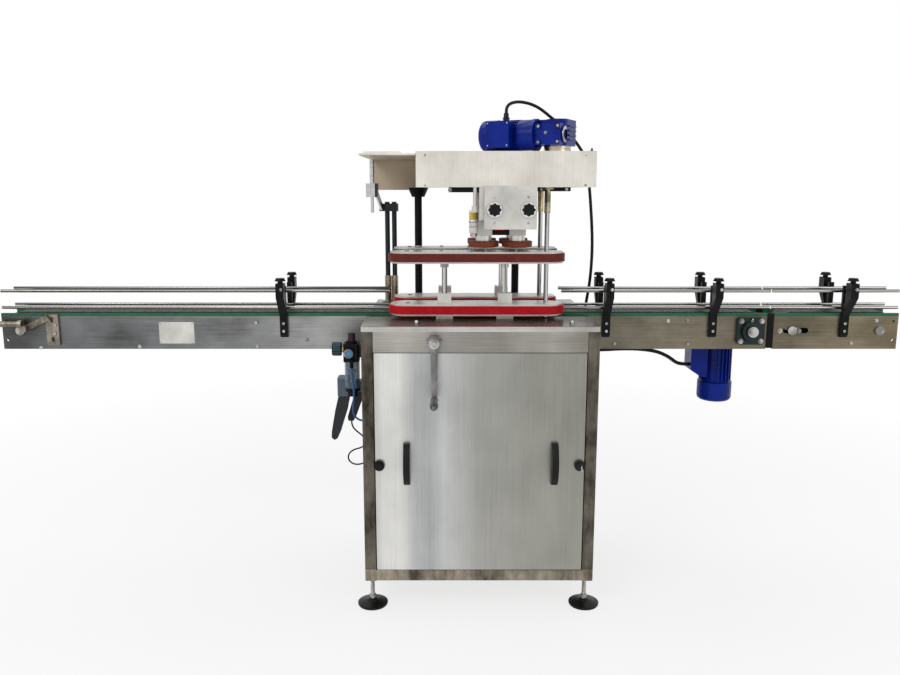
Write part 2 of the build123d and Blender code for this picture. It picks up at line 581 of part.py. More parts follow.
# Front door: a lift-off sheet tray with two bow handles and two quarter-turn knobs
DOOR_LEFT = CABINET_LEFT + TUBE + DOOR_GAP
DOOR_RIGHT = CABINET_RIGHT - TUBE - DOOR_GAP
DOOR_BOTTOM = CABINET_BOTTOM + TUBE + DOOR_GAP
LOCK_PLACES = (DOOR_LEFT + 12, DOOR_RIGHT - 14)
LOCK_Z = 472.0
LOCK_SHAFT = 6.0
HANDLE_PLACES = (-128.0, 310.0)
HANDLE_Z = 478.0
HANDLE_SPAN = 110.0
with BuildPart() as door:
    block(DOOR_LEFT, DOOR_RIGHT, FRONT_Y, FRONT_Y + DOOR_RIM, DOOR_BOTTOM, DOOR_TOP)
    fillet(door.edges().filter_by(Axis.Y), 3)
    block(DOOR_LEFT + PANEL, DOOR_RIGHT - PANEL, FRONT_Y + PANEL, FRONT_Y + DOOR_RIM,
          DOOR_BOTTOM + PANEL, DOOR_TOP - PANEL, Mode.SUBTRACT)
    for lock_x in LOCK_PLACES:
        rod_y(FRONT_Y - 1, FRONT_Y + PANEL + 1, lock_x, LOCK_Z, LOCK_SHAFT + RUNNING_FIT, Mode.SUBTRACT)
door.part.label = "door"
export_step(door.part, "parts/door.step")

with BuildPart() as door_handles:
    for handle_x in HANDLE_PLACES:
        with BuildSketch(Plane.YZ.offset(handle_x - 10)):
            with BuildLine():
                Polyline((FRONT_Y, HANDLE_Z - 63), (FRONT_Y, HANDLE_Z - 45), (FRONT_Y - 8, HANDLE_Z - 45))
                ThreePointArc((FRONT_Y - 8, HANDLE_Z - 45), (FRONT_Y - 26, HANDLE_Z),
                              (FRONT_Y - 8, HANDLE_Z + 45))
                Polyline((FRONT_Y - 8, HANDLE_Z + 45), (FRONT_Y, HANDLE_Z + 45), (FRONT_Y, HANDLE_Z + 63),
                         (FRONT_Y - 14, HANDLE_Z + 63))
                ThreePointArc((FRONT_Y - 14, HANDLE_Z + 63), (FRONT_Y - 40, HANDLE_Z),
                              (FRONT_Y - 14, HANDLE_Z - 63))
                Line((FRONT_Y - 14, HANDLE_Z - 63), (FRONT_Y, HANDLE_Z - 63))
            make_face()
        extrude(amount=20)
    fillet(door_handles.edges().filter_by(GeomType.CIRCLE), 3)
door_handles.part.label = "door_handles"
export_step(door_handles.part, "parts/door_handles.step")

with BuildPart() as lock_knob_left:
    rod_y(FRONT_Y - 9, FRONT_Y - 0.3, LOCK_PLACES[0], LOCK_Z, 16)
    rod_y(FRONT_Y - 14, FRONT_Y - 9, LOCK_PLACES[0], LOCK_Z, 10)
    rod_y(FRONT_Y - 1, FRONT_Y + 14, LOCK_PLACES[0], LOCK_Z, LOCK_SHAFT)
    block(LOCK_PLACES[0] - 6, LOCK_PLACES[0] + 6, FRONT_Y + 10, FRONT_Y + 14, LOCK_Z - 6, LOCK_Z + 8)
lock_knob_left.part.label = "lock_knob_left"
export_step(lock_knob_left.part, "parts/lock_knob_left.step")

with BuildPart() as lock_knob_right:
    rod_y(FRONT_Y - 9, FRONT_Y - 0.3, LOCK_PLACES[1], LOCK_Z, 16)
    rod_y(FRONT_Y - 14, FRONT_Y - 9, LOCK_PLACES[1], LOCK_Z, 10)
    rod_y(FRONT_Y - 1, FRONT_Y + 14, LOCK_PLACES[1], LOCK_Z, LOCK_SHAFT)
    block(LOCK_PLACES[1] - 6, LOCK_PLACES[1] + 6, FRONT_Y + 10, FRONT_Y + 14, LOCK_Z - 6, LOCK_Z + 8)
    # The key that stays in this lock
    block(LOCK_PLACES[1] - 1.2, LOCK_PLACES[1] + 1.2, FRONT_Y - 36, FRONT_Y - 13, LOCK_Z - 5, LOCK_Z + 5)
    with BuildSketch(Plane.YZ.offset(LOCK_PLACES[1] - 1.2)):
        with Locations((FRONT_Y - 38, LOCK_Z)):
            Circle(11)
            Circle(5, mode=Mode.SUBTRACT)
    extrude(amount=2.4)
lock_knob_right.part.label = "lock_knob_right"
export_step(lock_knob_right.part, "parts/lock_knob_right.step")

# Crank: hub and flat arm, with a grip that spins on its pin
HUB_BACK = FRONT_Y - 3
HUB_FRONT = FRONT_Y - 46
GRIP_Z = CRANK_Z - CRANK_ARM
GRIP_PIN = 4.0
CRANK_TIP = FRONT_Y - CRANK_REACH
with BuildPart() as crank_arm:
    rod_y(HUB_FRONT, HUB_BACK, CRANK_X, CRANK_Z, 18)
    rod_x(CRANK_X - 23, CRANK_X + 23, FRONT_Y - 20, CRANK_Z, 4)
    with BuildSketch(Plane.XZ.offset(-HUB_FRONT - 8)):
        with BuildLine():
            Polyline((CRANK_X - 11, CRANK_Z), (CRANK_X - 8, GRIP_Z), (CRANK_X + 8, GRIP_Z),
                     (CRANK_X + 11, CRANK_Z), (CRANK_X - 11, CRANK_Z))
        make_face()
        with Locations((CRANK_X, GRIP_Z)):
            Circle(10)
    extrude(amount=8)
    rod_y(CRANK_TIP, HUB_FRONT, CRANK_X, GRIP_Z, GRIP_PIN)
    rod_y(CRANK_TIP, CRANK_TIP + 4, CRANK_X, GRIP_Z, 6)
    rod_y(HUB_FRONT - 1, HUB_BACK + 1, CRANK_X, CRANK_Z, CRANK_SHAFT_RADIUS, Mode.SUBTRACT)
crank_arm.part.label = "crank_arm"
export_step(crank_arm.part, "parts/crank_arm.step")

GRIP_START = CRANK_TIP + 4.4
GRIP_END = HUB_FRONT - 0.6
with BuildPart() as crank_grip:
    with BuildSketch(Plane.YZ.offset(CRANK_X)):
        with BuildLine():
            Line((GRIP_START, GRIP_Z + GRIP_PIN + RUNNING_FIT), (GRIP_START, GRIP_Z + 9))
            Spline((GRIP_START, GRIP_Z + 9), (GRIP_START + 22, GRIP_Z + 12), (GRIP_END - 20, GRIP_Z + 9.5),
                   (GRIP_END, GRIP_Z + 11))
            Polyline((GRIP_END, GRIP_Z + 11), (GRIP_END, GRIP_Z + GRIP_PIN + RUNNING_FIT),
                     (GRIP_START, GRIP_Z + GRIP_PIN + RUNNING_FIT))
        make_face()
    revolve(axis=Axis((CRANK_X, 0, GRIP_Z), (0, 1, 0)))
crank_grip.part.label = "crank_grip"
export_step(crank_grip.part, "parts/crank_grip.step")

# Crank shaft and lifting screw, with a pair of equal bevel gears
TOOTH_RADIUS = BEVEL_RADIUS - BEVEL_CLEARANCE
with BuildPart() as crank_shaft:
    rod_y(HUB_FRONT, SCREW_Y - BEVEL_RADIUS / 2, CRANK_X, CRANK_Z, CRANK_SHAFT_RADIUS)
    with BuildSketch(Plane.XZ.offset(-SCREW_Y + BEVEL_RADIUS)):
        with Locations((CRANK_X, CRANK_Z)):
            Circle(TOOTH_RADIUS)
    extrude(amount=-BEVEL_RADIUS / 2, taper=45)
    rod_y(SCREW_Y - BEVEL_RADIUS - 15, SCREW_Y - BEVEL_RADIUS, CRANK_X, CRANK_Z, 14)
    with Locations(Plane.XZ.offset(-SCREW_Y + BEVEL_RADIUS)):
        with Locations((CRANK_X, CRANK_Z, 0)):
            with PolarLocations(TOOTH_RADIUS, BEVEL_TEETH):
                Box(5, 2.5, 9, mode=Mode.SUBTRACT)
crank_shaft.part.label = "crank_shaft"
export_step(crank_shaft.part, "parts/crank_shaft.step")

SCREW_BOTTOM = YOKE_Z - 45
with BuildPart() as lift_screw:
    rod_z(SCREW_BOTTOM, PLATE_BOTTOM + 6.7, CRANK_X, SCREW_Y, SCREW_RADIUS)
    rod_z(PLATE_BOTTOM, CRANK_Z - BEVEL_RADIUS / 2, CRANK_X, SCREW_Y, CRANK_SHAFT_RADIUS)
    rod_z(PLATE_BOTTOM + 22.3, CRANK_Z - BEVEL_RADIUS, CRANK_X, SCREW_Y, 14)
    with BuildSketch(Plane.XY.offset(CRANK_Z - BEVEL_RADIUS)):
        with Locations((CRANK_X, SCREW_Y)):
            Circle(TOOTH_RADIUS)
    extrude(amount=BEVEL_RADIUS / 2, taper=45)
    with Locations((CRANK_X, SCREW_Y, CRANK_Z - BEVEL_RADIUS)):
        with PolarLocations(TOOTH_RADIUS, BEVEL_TEETH):
            Box(5, 2.5, 9, mode=Mode.SUBTRACT)
lift_screw.part.label = "lift_screw"
export_step(lift_screw.part, "parts/lift_screw.step")

# Lifting yoke: a plate under the conveyor that joins the screw's nut to both columns
with BuildPart() as lift_yoke:
    with BuildSketch(Plane.XY.offset(YOKE_Z)):
        with BuildLine():
            Polyline((COLUMN_X[0] - 34, COLUMN_Y - 30), (COLUMN_X[0] - 34, COLUMN_Y + 30),
                     (COLUMN_X[1] + 34, COLUMN_Y + 30), (COLUMN_X[1] + 34, COLUMN_Y - 30),
                     (CRANK_X + 110, COLUMN_Y - 30), (CRANK_X + 32, SCREW_Y),
                     (CRANK_X - 32, SCREW_Y), (COLUMN_X[0] - 34, COLUMN_Y - 30))
        make_face()
        with Locations((CRANK_X, SCREW_Y)):
            Circle(32)
    extrude(amount=YOKE_THICK)
    fillet(lift_yoke.edges().filter_by(Axis.Z).group_by(Axis.Y)[-1], 12)
    rod_z(YOKE_Z - 20, YOKE_Z, CRANK_X, SCREW_Y, 26)
    rod_z(YOKE_Z - 21, YOKE_Z + YOKE_THICK + 1, CRANK_X, SCREW_Y, SCREW_RADIUS + RUNNING_FIT, Mode.SUBTRACT)
    for column_x in COLUMN_X:
        rod_z(YOKE_Z - 1, YOKE_Z + YOKE_THICK + 1, column_x, COLUMN_Y, COLUMN_RADIUS, Mode.SUBTRACT)
lift_yoke.part.label = "lift_yoke"
export_step(lift_yoke.part, "parts/lift_yoke.step")

# Column guides on the table, the columns, and the collars under the head
with BuildPart() as column_guides:
    for column_x in COLUMN_X:
        with BuildSketch(Plane.XZ.offset(-COLUMN_Y)):
            with BuildLine():
                Polyline((column_x + COLUMN_RADIUS + RUNNING_FIT, TABLE_TOP),
                         (column_x + FLANGE_RADIUS + 5, TABLE_TOP), (column_x + FLANGE_RADIUS + 5, TABLE_TOP + 7),
                         (column_x + FLANGE_RADIUS - 6, TABLE_TOP + 9),
                         (column_x + 20, TABLE_TOP + FLANGE_HEIGHT),
                         (column_x + COLUMN_RADIUS + RUNNING_FIT, TABLE_TOP + FLANGE_HEIGHT),
                         (column_x + COLUMN_RADIUS + RUNNING_FIT, TABLE_TOP))
            make_face()
        revolve(axis=Axis((column_x, COLUMN_Y, 0), (0, 0, 1)))
column_guides.part.label = "column_guides"
export_step(column_guides.part, "parts/column_guides.step")

with BuildPart() as columns:
    for column_x in COLUMN_X:
        rod_z(YOKE_Z, HEAD_BOTTOM, column_x, COLUMN_Y, COLUMN_RADIUS)
columns.part.label = "columns"
export_step(columns.part, "parts/columns.step")

COLLAR_HEIGHT = 31.0
with BuildPart() as column_collars:
    for column_x in COLUMN_X:
        with BuildSketch(Plane.XY.offset(HEAD_BOTTOM)):
            with Locations((column_x, COLUMN_Y)):
                Circle(FLANGE_RADIUS)
        extrude(amount=-COLLAR_HEIGHT, taper=24)
        rod_z(HEAD_BOTTOM - COLLAR_HEIGHT - 1, HEAD_BOTTOM + 1, column_x, COLUMN_Y,
              COLUMN_RADIUS, Mode.SUBTRACT)
column_collars.part.label = "column_collars"
export_step(column_collars.part, "parts/column_collars.step")

# Head housing: a closed sheet box, with an open bay on its left side
HEAD_BACK = HEAD_FRONT + HEAD_DEPTH
GRIP_ROWS = (CONVEYOR_Y - GRIP_OFFSET, CONVEYOR_Y + GRIP_OFFSET)
with BuildPart() as head_housing:
    block(HEAD_LEFT, HEAD_RIGHT, HEAD_FRONT, HEAD_BACK, HEAD_BOTTOM, HEAD_TOP)
    fillet(head_housing.edges().filter_by(Axis.Z), 4)
    block(HEAD_LEFT + HEAD_WALL, HEAD_RIGHT - HEAD_WALL, HEAD_FRONT + HEAD_WALL, HEAD_BACK - HEAD_WALL,
          HEAD_BOTTOM + HEAD_FLOOR, HEAD_TOP - HEAD_WALL, Mode.SUBTRACT)
    block(BAY_LEFT, HEAD_LEFT, HEAD_FRONT, HEAD_BACK, BAY_TOP - BAY_SHEET, BAY_TOP)
    block(BAY_LEFT, HEAD_LEFT, HEAD_BACK - BAY_SHEET, HEAD_BACK, HEAD_BOTTOM - BAY_SKIRT, BAY_TOP)
    block(BAY_LEFT + 12, HEAD_LEFT - 48, HEAD_FRONT + 20, HEAD_FRONT + 220, BAY_TOP, BAY_TOP + 6)
    for row_y in GRIP_ROWS:
        rod_z(HEAD_BOTTOM - 1, HEAD_BOTTOM + HEAD_FLOOR + 1, PULLEY_RIGHT, row_y,
              GRIP_SHAFT_RADIUS + 1, Mode.SUBTRACT)
head_housing.part.label = "head_housing"
export_step(head_housing.part, "parts/head_housing.step")

# Worm gearbox on top of the head, turned a little so that its motor points back to the left
GEARBOX_BOTTOM = HEAD_TOP + SPIGOT_HEIGHT
GEAR_PLANE = Plane(origin=(GEARBOX_X, GEARBOX_Y, GEARBOX_BOTTOM),
                   x_dir=(math.cos(math.radians(GEARBOX_TURN)), math.sin(math.radians(GEARBOX_TURN)), 0),
                   z_dir=(0, 0, 1))
WORM_FACE = -WORM_OFFSET - WORM_DEPTH / 2
MOTOR_SEAT = GEARBOX_HALF + 1
with BuildPart(GEAR_PLANE) as head_gearbox:
    Box(2 * GEARBOX_HALF, 2 * GEARBOX_HALF, GEARBOX_HEIGHT, align=STANDING)
    chamfer(head_gearbox.edges().filter_by(Axis.Z), 5)
    with Locations((0, 0, -SPIGOT_HEIGHT)):
        Cylinder(SPIGOT_RADIUS, SPIGOT_HEIGHT, align=STANDING)
    # Worm housing in front of the wheel housing, with the ring at the worm's far end
    with Locations(((WORM_HALF - MOTOR_SEAT) / 2, -WORM_OFFSET, MOTOR_AXIS_Z)):
        Box(WORM_HALF + MOTOR_SEAT, WORM_DEPTH, WORM_DEPTH)
    with Locations((WORM_HALF + 2, -WORM_OFFSET, MOTOR_AXIS_Z)):
        Cylinder(25, 4, rotation=(0, 90, 0))
    with Locations((WORM_HALF + 3, -WORM_OFFSET, MOTOR_AXIS_Z)):
        Cylinder(15, 12, rotation=(0, 90, 0), mode=Mode.SUBTRACT)
    # Corner bosses on the worm housing and on the back of the wheel housing
    for boss_x in (-WORM_HALF + 8, WORM_HALF - 8):
        for boss_z in (-WORM_DEPTH / 2 + 8, WORM_DEPTH / 2 - 8):
            with Locations((boss_x, WORM_FACE - 2, MOTOR_AXIS_Z + boss_z)):
                Box(16, 6, 16)
        for boss_z in (10, GEARBOX_HEIGHT - 10):
            with Locations((boss_x, GEARBOX_HALF + 1, boss_z)):
                Box(16, 6, 16)
    # Cover of the wheel housing and its fins
    with Locations((0, 0, GEARBOX_HEIGHT)):
        Cylinder(36, 3, align=STANDING)
    for fin_z in (18, 32, 46, 60):
        with Locations((GEARBOX_HALF + 2, 0, fin_z)):
            Box(8, 2 * GEARBOX_HALF - 32, 4)
head_gearbox.part.label = "head_gearbox"
export_step(head_gearbox.part, "parts/head_gearbox.step")

# Motor of the head gearbox: round flange, smooth end shield, finned barrel, domed fan cover, terminal box
FLANGE_THICK = 12.0
SHIELD_LENGTH = 44.0
SHIELD_END = -MOTOR_SEAT - FLANGE_THICK - SHIELD_LENGTH
BARREL_END = SHIELD_END - MOTOR_LENGTH
TERMINAL_X = -149.0
TERMINAL_FRONT = -WORM_OFFSET - 86.0
GLAND_X = -128.0
GLAND_Y = -WORM_OFFSET - 64.0
GLAND_HEIGHT = 26.0
TERMINAL_HEIGHT = 80.0
with BuildPart(GEAR_PLANE) as head_motor:
    with Locations((BARREL_END - FAN_COVER_LENGTH / 2, -WORM_OFFSET, MOTOR_AXIS_Z)):
        Cylinder(MOTOR_RADIUS, FAN_COVER_LENGTH, rotation=(0, 90, 0))
    fillet(head_motor.faces().sort_by(Axis((0, 0, 0), GEAR_PLANE.x_dir))[0].edges(), 14)
    with Locations((-MOTOR_SEAT - FLANGE_THICK / 2, -WORM_OFFSET, MOTOR_AXIS_Z)):
        Cylinder(MOTOR_RADIUS, FLANGE_THICK, rotation=(0, 90, 0))
    with Locations((SHIELD_END + SHIELD_LENGTH / 2, -WORM_OFFSET, MOTOR_AXIS_Z)):
        Cylinder(MOTOR_RADIUS - 2, SHIELD_LENGTH, rotation=(0, 90, 0))
    with Locations((SHIELD_END - MOTOR_LENGTH / 2, -WORM_OFFSET, MOTOR_AXIS_Z)):
        Cylinder(MOTOR_RADIUS - FIN_HEIGHT - 1, MOTOR_LENGTH, rotation=(0, 90, 0))
        for fin_turn in range(0, 360, 15):
            turn = math.radians(fin_turn)
            reach = MOTOR_RADIUS - FIN_HEIGHT - 1
            with Locations(Location((0, reach * math.cos(turn), reach * math.sin(turn)), (fin_turn, 0, 0))):
                Box(MOTOR_LENGTH, 2 * FIN_HEIGHT, FIN_WIDTH)
    with Locations((TERMINAL_X, TERMINAL_FRONT + 24, MOTOR_AXIS_Z)):
        Box(72, 42, TERMINAL_HEIGHT - 4)
    with Locations((TERMINAL_X, TERMINAL_FRONT + 3, MOTOR_AXIS_Z)):
        Box(78, 6, TERMINAL_HEIGHT)
    # Cable gland on top of the box
    with Locations((GLAND_X, GLAND_Y, MOTOR_AXIS_Z + TERMINAL_HEIGHT / 2 - 3)):
        Cylinder(7, GLAND_HEIGHT + 2, align=STANDING)
        Cylinder(9.5, 10, align=STANDING)
head_motor.part.label = "head_motor"
export_step(head_motor.part, "parts/head_motor.step")

# Knob panel: front plate with two dials, rear hanger, two guide rods and the air fitting beside it
with BuildPart() as knob_panel:
    block(PANEL_LEFT, PANEL_RIGHT, PANEL_Y, PANEL_Y + PANEL_THICK, PANEL_BOTTOM, HEAD_BOTTOM + 4)
    fillet(knob_panel.edges().filter_by(Axis.Y), 3)
    block(PANEL_LEFT, PANEL_RIGHT, PANEL_Y + PANEL_THICK, HEAD_FRONT, HEAD_BOTTOM - 2, HEAD_BOTTOM + 4)
    block(PANEL_LEFT, PANEL_RIGHT, HEAD_FRONT, HEAD_FRONT + 25, HEAD_BOTTOM - 6, HEAD_BOTTOM)
    block(PANEL_LEFT, PANEL_RIGHT, PANEL_Y + PANEL_THICK, HEAD_FRONT, HEAD_BOTTOM - 6, HEAD_BOTTOM - 2)
    block(PANEL_LEFT, PANEL_RIGHT, REAR_HANGER_Y, REAR_HANGER_Y + PANEL_THICK, PANEL_BOTTOM + 30, HEAD_BOTTOM)
    for knob_x in KNOB_X:
        rod_y(PANEL_Y - DIAL_THICK, PANEL_Y, knob_x, KNOB_Z, DIAL_RADIUS)
    for guide_x in GUIDE_ROD_X:
        rod_y(PANEL_Y + PANEL_THICK - 2, REAR_HANGER_Y + 2, guide_x, GUIDE_ROD_Z, GUIDE_ROD_RADIUS)
    for knob_x in KNOB_X:
        rod_y(PANEL_Y - DIAL_THICK - 1, PANEL_Y + PANEL_THICK + 1, knob_x, KNOB_Z,
              ADJUSTER_RADIUS + RUNNING_FIT, Mode.SUBTRACT)
    # Side cheek and the air fitting that hangs to its left
    block(PANEL_LEFT - 14, PANEL_LEFT, PANEL_Y + 20, PANEL_Y + 44, 1190, HEAD_BOTTOM)
    rod_z(1232, HEAD_BOTTOM, 74, -112, 6)
    rod_z(1212, 1232, 74, -112, 10)
    rod_z(1152, 1212, 70, -112, 13)
    rod_z(1140, 1152, 70, -112, 8)
knob_panel.part.label = "knob_panel"
export_step(knob_panel.part, "parts/knob_panel.step")


def star_knob(knob_x, screw_end):
    """Add a star knob with eight lobes and its long adjusting screw."""
    knob_face = PANEL_Y - DIAL_THICK - 0.3
    with BuildSketch(Plane.XZ.offset(-knob_face)) as star:
        with Locations((knob_x, KNOB_Z)):
            Circle(KNOB_RADIUS - 3)
            with PolarLocations(KNOB_RADIUS - 4, 8):
                Circle(4)
    extrude(star.sketch, amount=KNOB_DEPTH)
    rod_y(knob_face - KNOB_DEPTH - 3, knob_face, knob_x, KNOB_Z, 11)
    rod_y(knob_face - 1, screw_end, knob_x, KNOB_Z, ADJUSTER_RADIUS)


ROW_Y = (CONVEYOR_Y - SPINDLE_ROW, CONVEYOR_Y + SPINDLE_ROW)
with BuildPart() as knob_1:
    star_knob(KNOB_X[0], ROW_Y[0] + BLOCK_SIZE / 2 + 12)
knob_1.part.label = "knob_1"
export_step(knob_1.part, "parts/knob_1.step")

with BuildPart() as knob_2:
    star_knob(KNOB_X[1], ROW_Y[1] + BLOCK_SIZE / 2 + 12)
knob_2.part.label = "knob_2"
export_step(knob_2.part, "parts/knob_2.step")


def carriage(row_y, thread_x, clear_x):
    """Add a sliding carriage: a beam on the guide rods and two spindle blocks below it."""
    y_start = row_y - BLOCK_SIZE / 2
    y_end = row_y + BLOCK_SIZE / 2
    block(SPINDLE_X[0] - BLOCK_SIZE / 2, SPINDLE_X[1] + BLOCK_SIZE / 2 + 15, y_start, y_end,
          CARRIAGE_BOTTOM, CARRIAGE_TOP)
    for spindle_x in SPINDLE_X:
        block(spindle_x - BLOCK_SIZE / 2, spindle_x + BLOCK_SIZE / 2, y_start, y_end,
              BLOCK_BOTTOM, CARRIAGE_BOTTOM)
        rod_z(BLOCK_BOTTOM - 1, CARRIAGE_BOTTOM - 10, spindle_x, row_y,
              SPINDLE_RADIUS + RUNNING_FIT, Mode.SUBTRACT)
    for guide_x in GUIDE_ROD_X:
        rod_y(y_start - 1, y_end + 1, guide_x, GUIDE_ROD_Z, GUIDE_ROD_RADIUS + RUNNING_FIT, Mode.SUBTRACT)
    rod_y(y_start - 1, y_end + 1, thread_x, KNOB_Z, ADJUSTER_RADIUS + RUNNING_FIT, Mode.SUBTRACT)
    if clear_x is not None:
        rod_y(y_start - 1, y_end + 1, clear_x, KNOB_Z, ADJUSTER_RADIUS + 1.5, Mode.SUBTRACT)


with BuildPart() as front_carriage:
    carriage(ROW_Y[0], KNOB_X[0], KNOB_X[1])
front_carriage.part.label = "front_carriage"
export_step(front_carriage.part, "parts/front_carriage.step")

with BuildPart() as rear_carriage:
    carriage(ROW_Y[1], KNOB_X[1], None)
rear_carriage.part.label = "rear_carriage"
export_step(rear_carriage.part, "parts/rear_carriage.step")


def spindle(spindle_x, row_y):
    """Add a spindle: a shaft in the block, a boss below it and a grooved rubber disc."""
    rod_z(DISC_BOTTOM + 4, CARRIAGE_BOTTOM - 12, spindle_x, row_y, SPINDLE_RADIUS)
    rod_z(DISC_BOTTOM + DISC_THICK, BLOCK_BOTTOM - 0.4, spindle_x, row_y, BOSS_RADIUS)
    disc_top = DISC_BOTTOM + DISC_THICK
    with BuildSketch(Plane.XZ.offset(-row_y)) as disc:
        with BuildLine():
            Polyline((spindle_x, DISC_BOTTOM + 2), (spindle_x + 20, DISC_BOTTOM + 2),
                     (spindle_x + 24, DISC_BOTTOM), (spindle_x + DISC_RADIUS - 2, DISC_BOTTOM),
                     (spindle_x + DISC_RADIUS, DISC_BOTTOM + 2), (spindle_x + DISC_RADIUS, disc_top - 2),
                     (spindle_x + DISC_RADIUS - 2, disc_top), (spindle_x, disc_top),
                     (spindle_x, DISC_BOTTOM + 2))
        make_face()
    revolve(disc.sketch, axis=Axis((spindle_x, row_y, 0), (0, 0, 1)))


with BuildPart() as spindle_1_front:
    spindle(SPINDLE_X[0], ROW_Y[0])
spindle_1_front.part.label = "spindle_1_front"
export_step(spindle_1_front.part, "parts/spindle_1_front.step")

with BuildPart() as spindle_2_front:
    spindle(SPINDLE_X[1], ROW_Y[0])
spindle_2_front.part.label = "spindle_2_front"
export_step(spindle_2_front.part, "parts/spindle_2_front.step")

with BuildPart() as spindle_1_rear:
    spindle(SPINDLE_X[0], ROW_Y[1])
spindle_1_rear.part.label = "spindle_1_rear"
export_step(spindle_1_rear.part, "parts/spindle_1_rear.step")

with BuildPart() as spindle_2_rear:
    spindle(SPINDLE_X[1], ROW_Y[1])
spindle_2_rear.part.label = "spindle_2_rear"
export_step(spindle_2_rear.part, "parts/spindle_2_rear.step")

# Side grip units: plates above and below each belt, on two posts that stand on the table
PULLEY_MID_X = (PULLEY_LEFT + PULLEY_RIGHT) / 2
PULLEY_SPAN = PULLEY_RIGHT - PULLEY_LEFT
BELT_CLEAR = 0.5
IDLER_PROUD = 3.0
LOWER_BELT_Z = LOWER_PLATE_Z + GRIP_PLATE + BELT_CLEAR
UPPER_BELT_Z = UPPER_PLATE_Z + GRIP_PLATE + BELT_CLEAR
GRIP_PLATE_Z = (
    LOWER_PLATE_Z,
    LOWER_BELT_Z + BELT_HEIGHT + BELT_CLEAR,
    UPPER_PLATE_Z,
    UPPER_BELT_Z + BELT_HEIGHT + BELT_CLEAR,
)
CLAMP_Z = GRIP_PLATE_Z[1] + GRIP_PLATE
with BuildPart() as grip_plates:
    for row_y in GRIP_ROWS:
        for plate_z in GRIP_PLATE_Z:
            with BuildSketch(Plane.XY.offset(plate_z)):
                with Locations((PULLEY_MID_X, row_y)):
                    SlotCenterToCenter(PULLEY_SPAN, 2 * BELT_INNER)
                for post_x in GRIP_POST_X:
                    with Locations((post_x, row_y)):
                        Circle(GRIP_POST_RADIUS, mode=Mode.SUBTRACT)
                for pulley_x in (PULLEY_LEFT, PULLEY_RIGHT):
                    with Locations((pulley_x, row_y)):
                        Circle(GRIP_SHAFT_RADIUS + RUNNING_FIT, mode=Mode.SUBTRACT)
            extrude(amount=GRIP_PLATE)
grip_plates.part.label = "grip_plates"
export_step(grip_plates.part, "parts/grip_plates.step")

POST_TOP = GRIP_PLATE_Z[3] + GRIP_PLATE
with BuildPart() as grip_posts:
    for row_y in GRIP_ROWS:
        for post_x in GRIP_POST_X:
            rod_z(TABLE_TOP, POST_TOP, post_x, row_y, GRIP_POST_RADIUS)
            rod_z(UPPER_PLATE_Z - 14, UPPER_PLATE_Z, post_x, row_y, GRIP_POST_RADIUS + 5)
grip_posts.part.label = "grip_posts"
export_step(grip_posts.part, "parts/grip_posts.step")

with BuildPart() as grip_blocks:
    for row_y in GRIP_ROWS:
        for post_x in GRIP_POST_X:
            block(post_x - CLAMP_WIDTH / 2, post_x + CLAMP_WIDTH / 2, row_y - 19, row_y + 19,
                  CLAMP_Z, CLAMP_Z + CLAMP_HEIGHT)
            block(post_x - 26, post_x + 26, row_y - 24, row_y + 24, TABLE_TOP, LOWER_PLATE_Z)
            rod_z(TABLE_TOP - 1, CLAMP_Z + CLAMP_HEIGHT + 1, post_x, row_y, GRIP_POST_RADIUS, Mode.SUBTRACT)
grip_blocks.part.label = "grip_blocks"
export_step(grip_blocks.part, "parts/grip_blocks.step")


def belt_pair(belt_z):
    """Add the front and rear belt loops at one height."""
    for row_y in GRIP_ROWS:
        with BuildSketch(Plane.XY.offset(belt_z)) as loop:
            with Locations((PULLEY_MID_X, row_y)):
                SlotCenterToCenter(PULLEY_SPAN, 2 * (BELT_INNER + BELT_THICK))
                SlotCenterToCenter(PULLEY_SPAN, 2 * BELT_INNER, mode=Mode.SUBTRACT)
        extrude(loop.sketch, amount=BELT_HEIGHT)


with BuildPart() as red_belts:
    belt_pair(LOWER_BELT_Z)
red_belts.part.label = "red_belts"
export_step(red_belts.part, "parts/red_belts.step")

with BuildPart() as brown_belts:
    belt_pair(UPPER_BELT_Z)
brown_belts.part.label = "brown_belts"
export_step(brown_belts.part, "parts/brown_belts.step")


def belt_pulleys(shaft_x, row_y):
    """Add the grooved pulleys of the lower and the upper belt on one axis."""
    for pulley_z in (LOWER_BELT_Z, UPPER_BELT_Z):
        with BuildSketch(Plane.XY.offset(pulley_z + 0.2)) as pulley:
            with Locations((shaft_x, row_y)):
                Circle(PULLEY_RADIUS)
                with PolarLocations(PULLEY_RADIUS + 1, 20):
                    Rectangle(5, 5, mode=Mode.SUBTRACT)
        extrude(pulley.sketch, amount=BELT_HEIGHT - 0.4)


def drive_shaft(row_y):
    """Add the long shaft that drives both belts of a row."""
    rod_z(TABLE_TOP + 3, GRIP_SHAFT_TOP, PULLEY_RIGHT, row_y, GRIP_SHAFT_RADIUS)
    belt_pulleys(PULLEY_RIGHT, row_y)


def idler_shafts_of_row(row_y):
    """Add the idlers of a row: each belt has its own short shaft between its two plates."""
    for belt_z in (LOWER_BELT_Z, UPPER_BELT_Z):
        shaft_low = belt_z - BELT_CLEAR - GRIP_PLATE - IDLER_PROUD
        shaft_high = belt_z + BELT_HEIGHT + BELT_CLEAR + GRIP_PLATE + IDLER_PROUD
        rod_z(shaft_low, shaft_high, PULLEY_LEFT, row_y, GRIP_SHAFT_RADIUS)
    belt_pulleys(PULLEY_LEFT, row_y)


with BuildPart() as front_drive_shaft:
    drive_shaft(GRIP_ROWS[0])
front_drive_shaft.part.label = "front_drive_shaft"
export_step(front_drive_shaft.part, "parts/front_drive_shaft.step")

with BuildPart() as rear_drive_shaft:
    drive_shaft(GRIP_ROWS[1])
rear_drive_shaft.part.label = "rear_drive_shaft"
export_step(rear_drive_shaft.part, "parts/rear_drive_shaft.step")

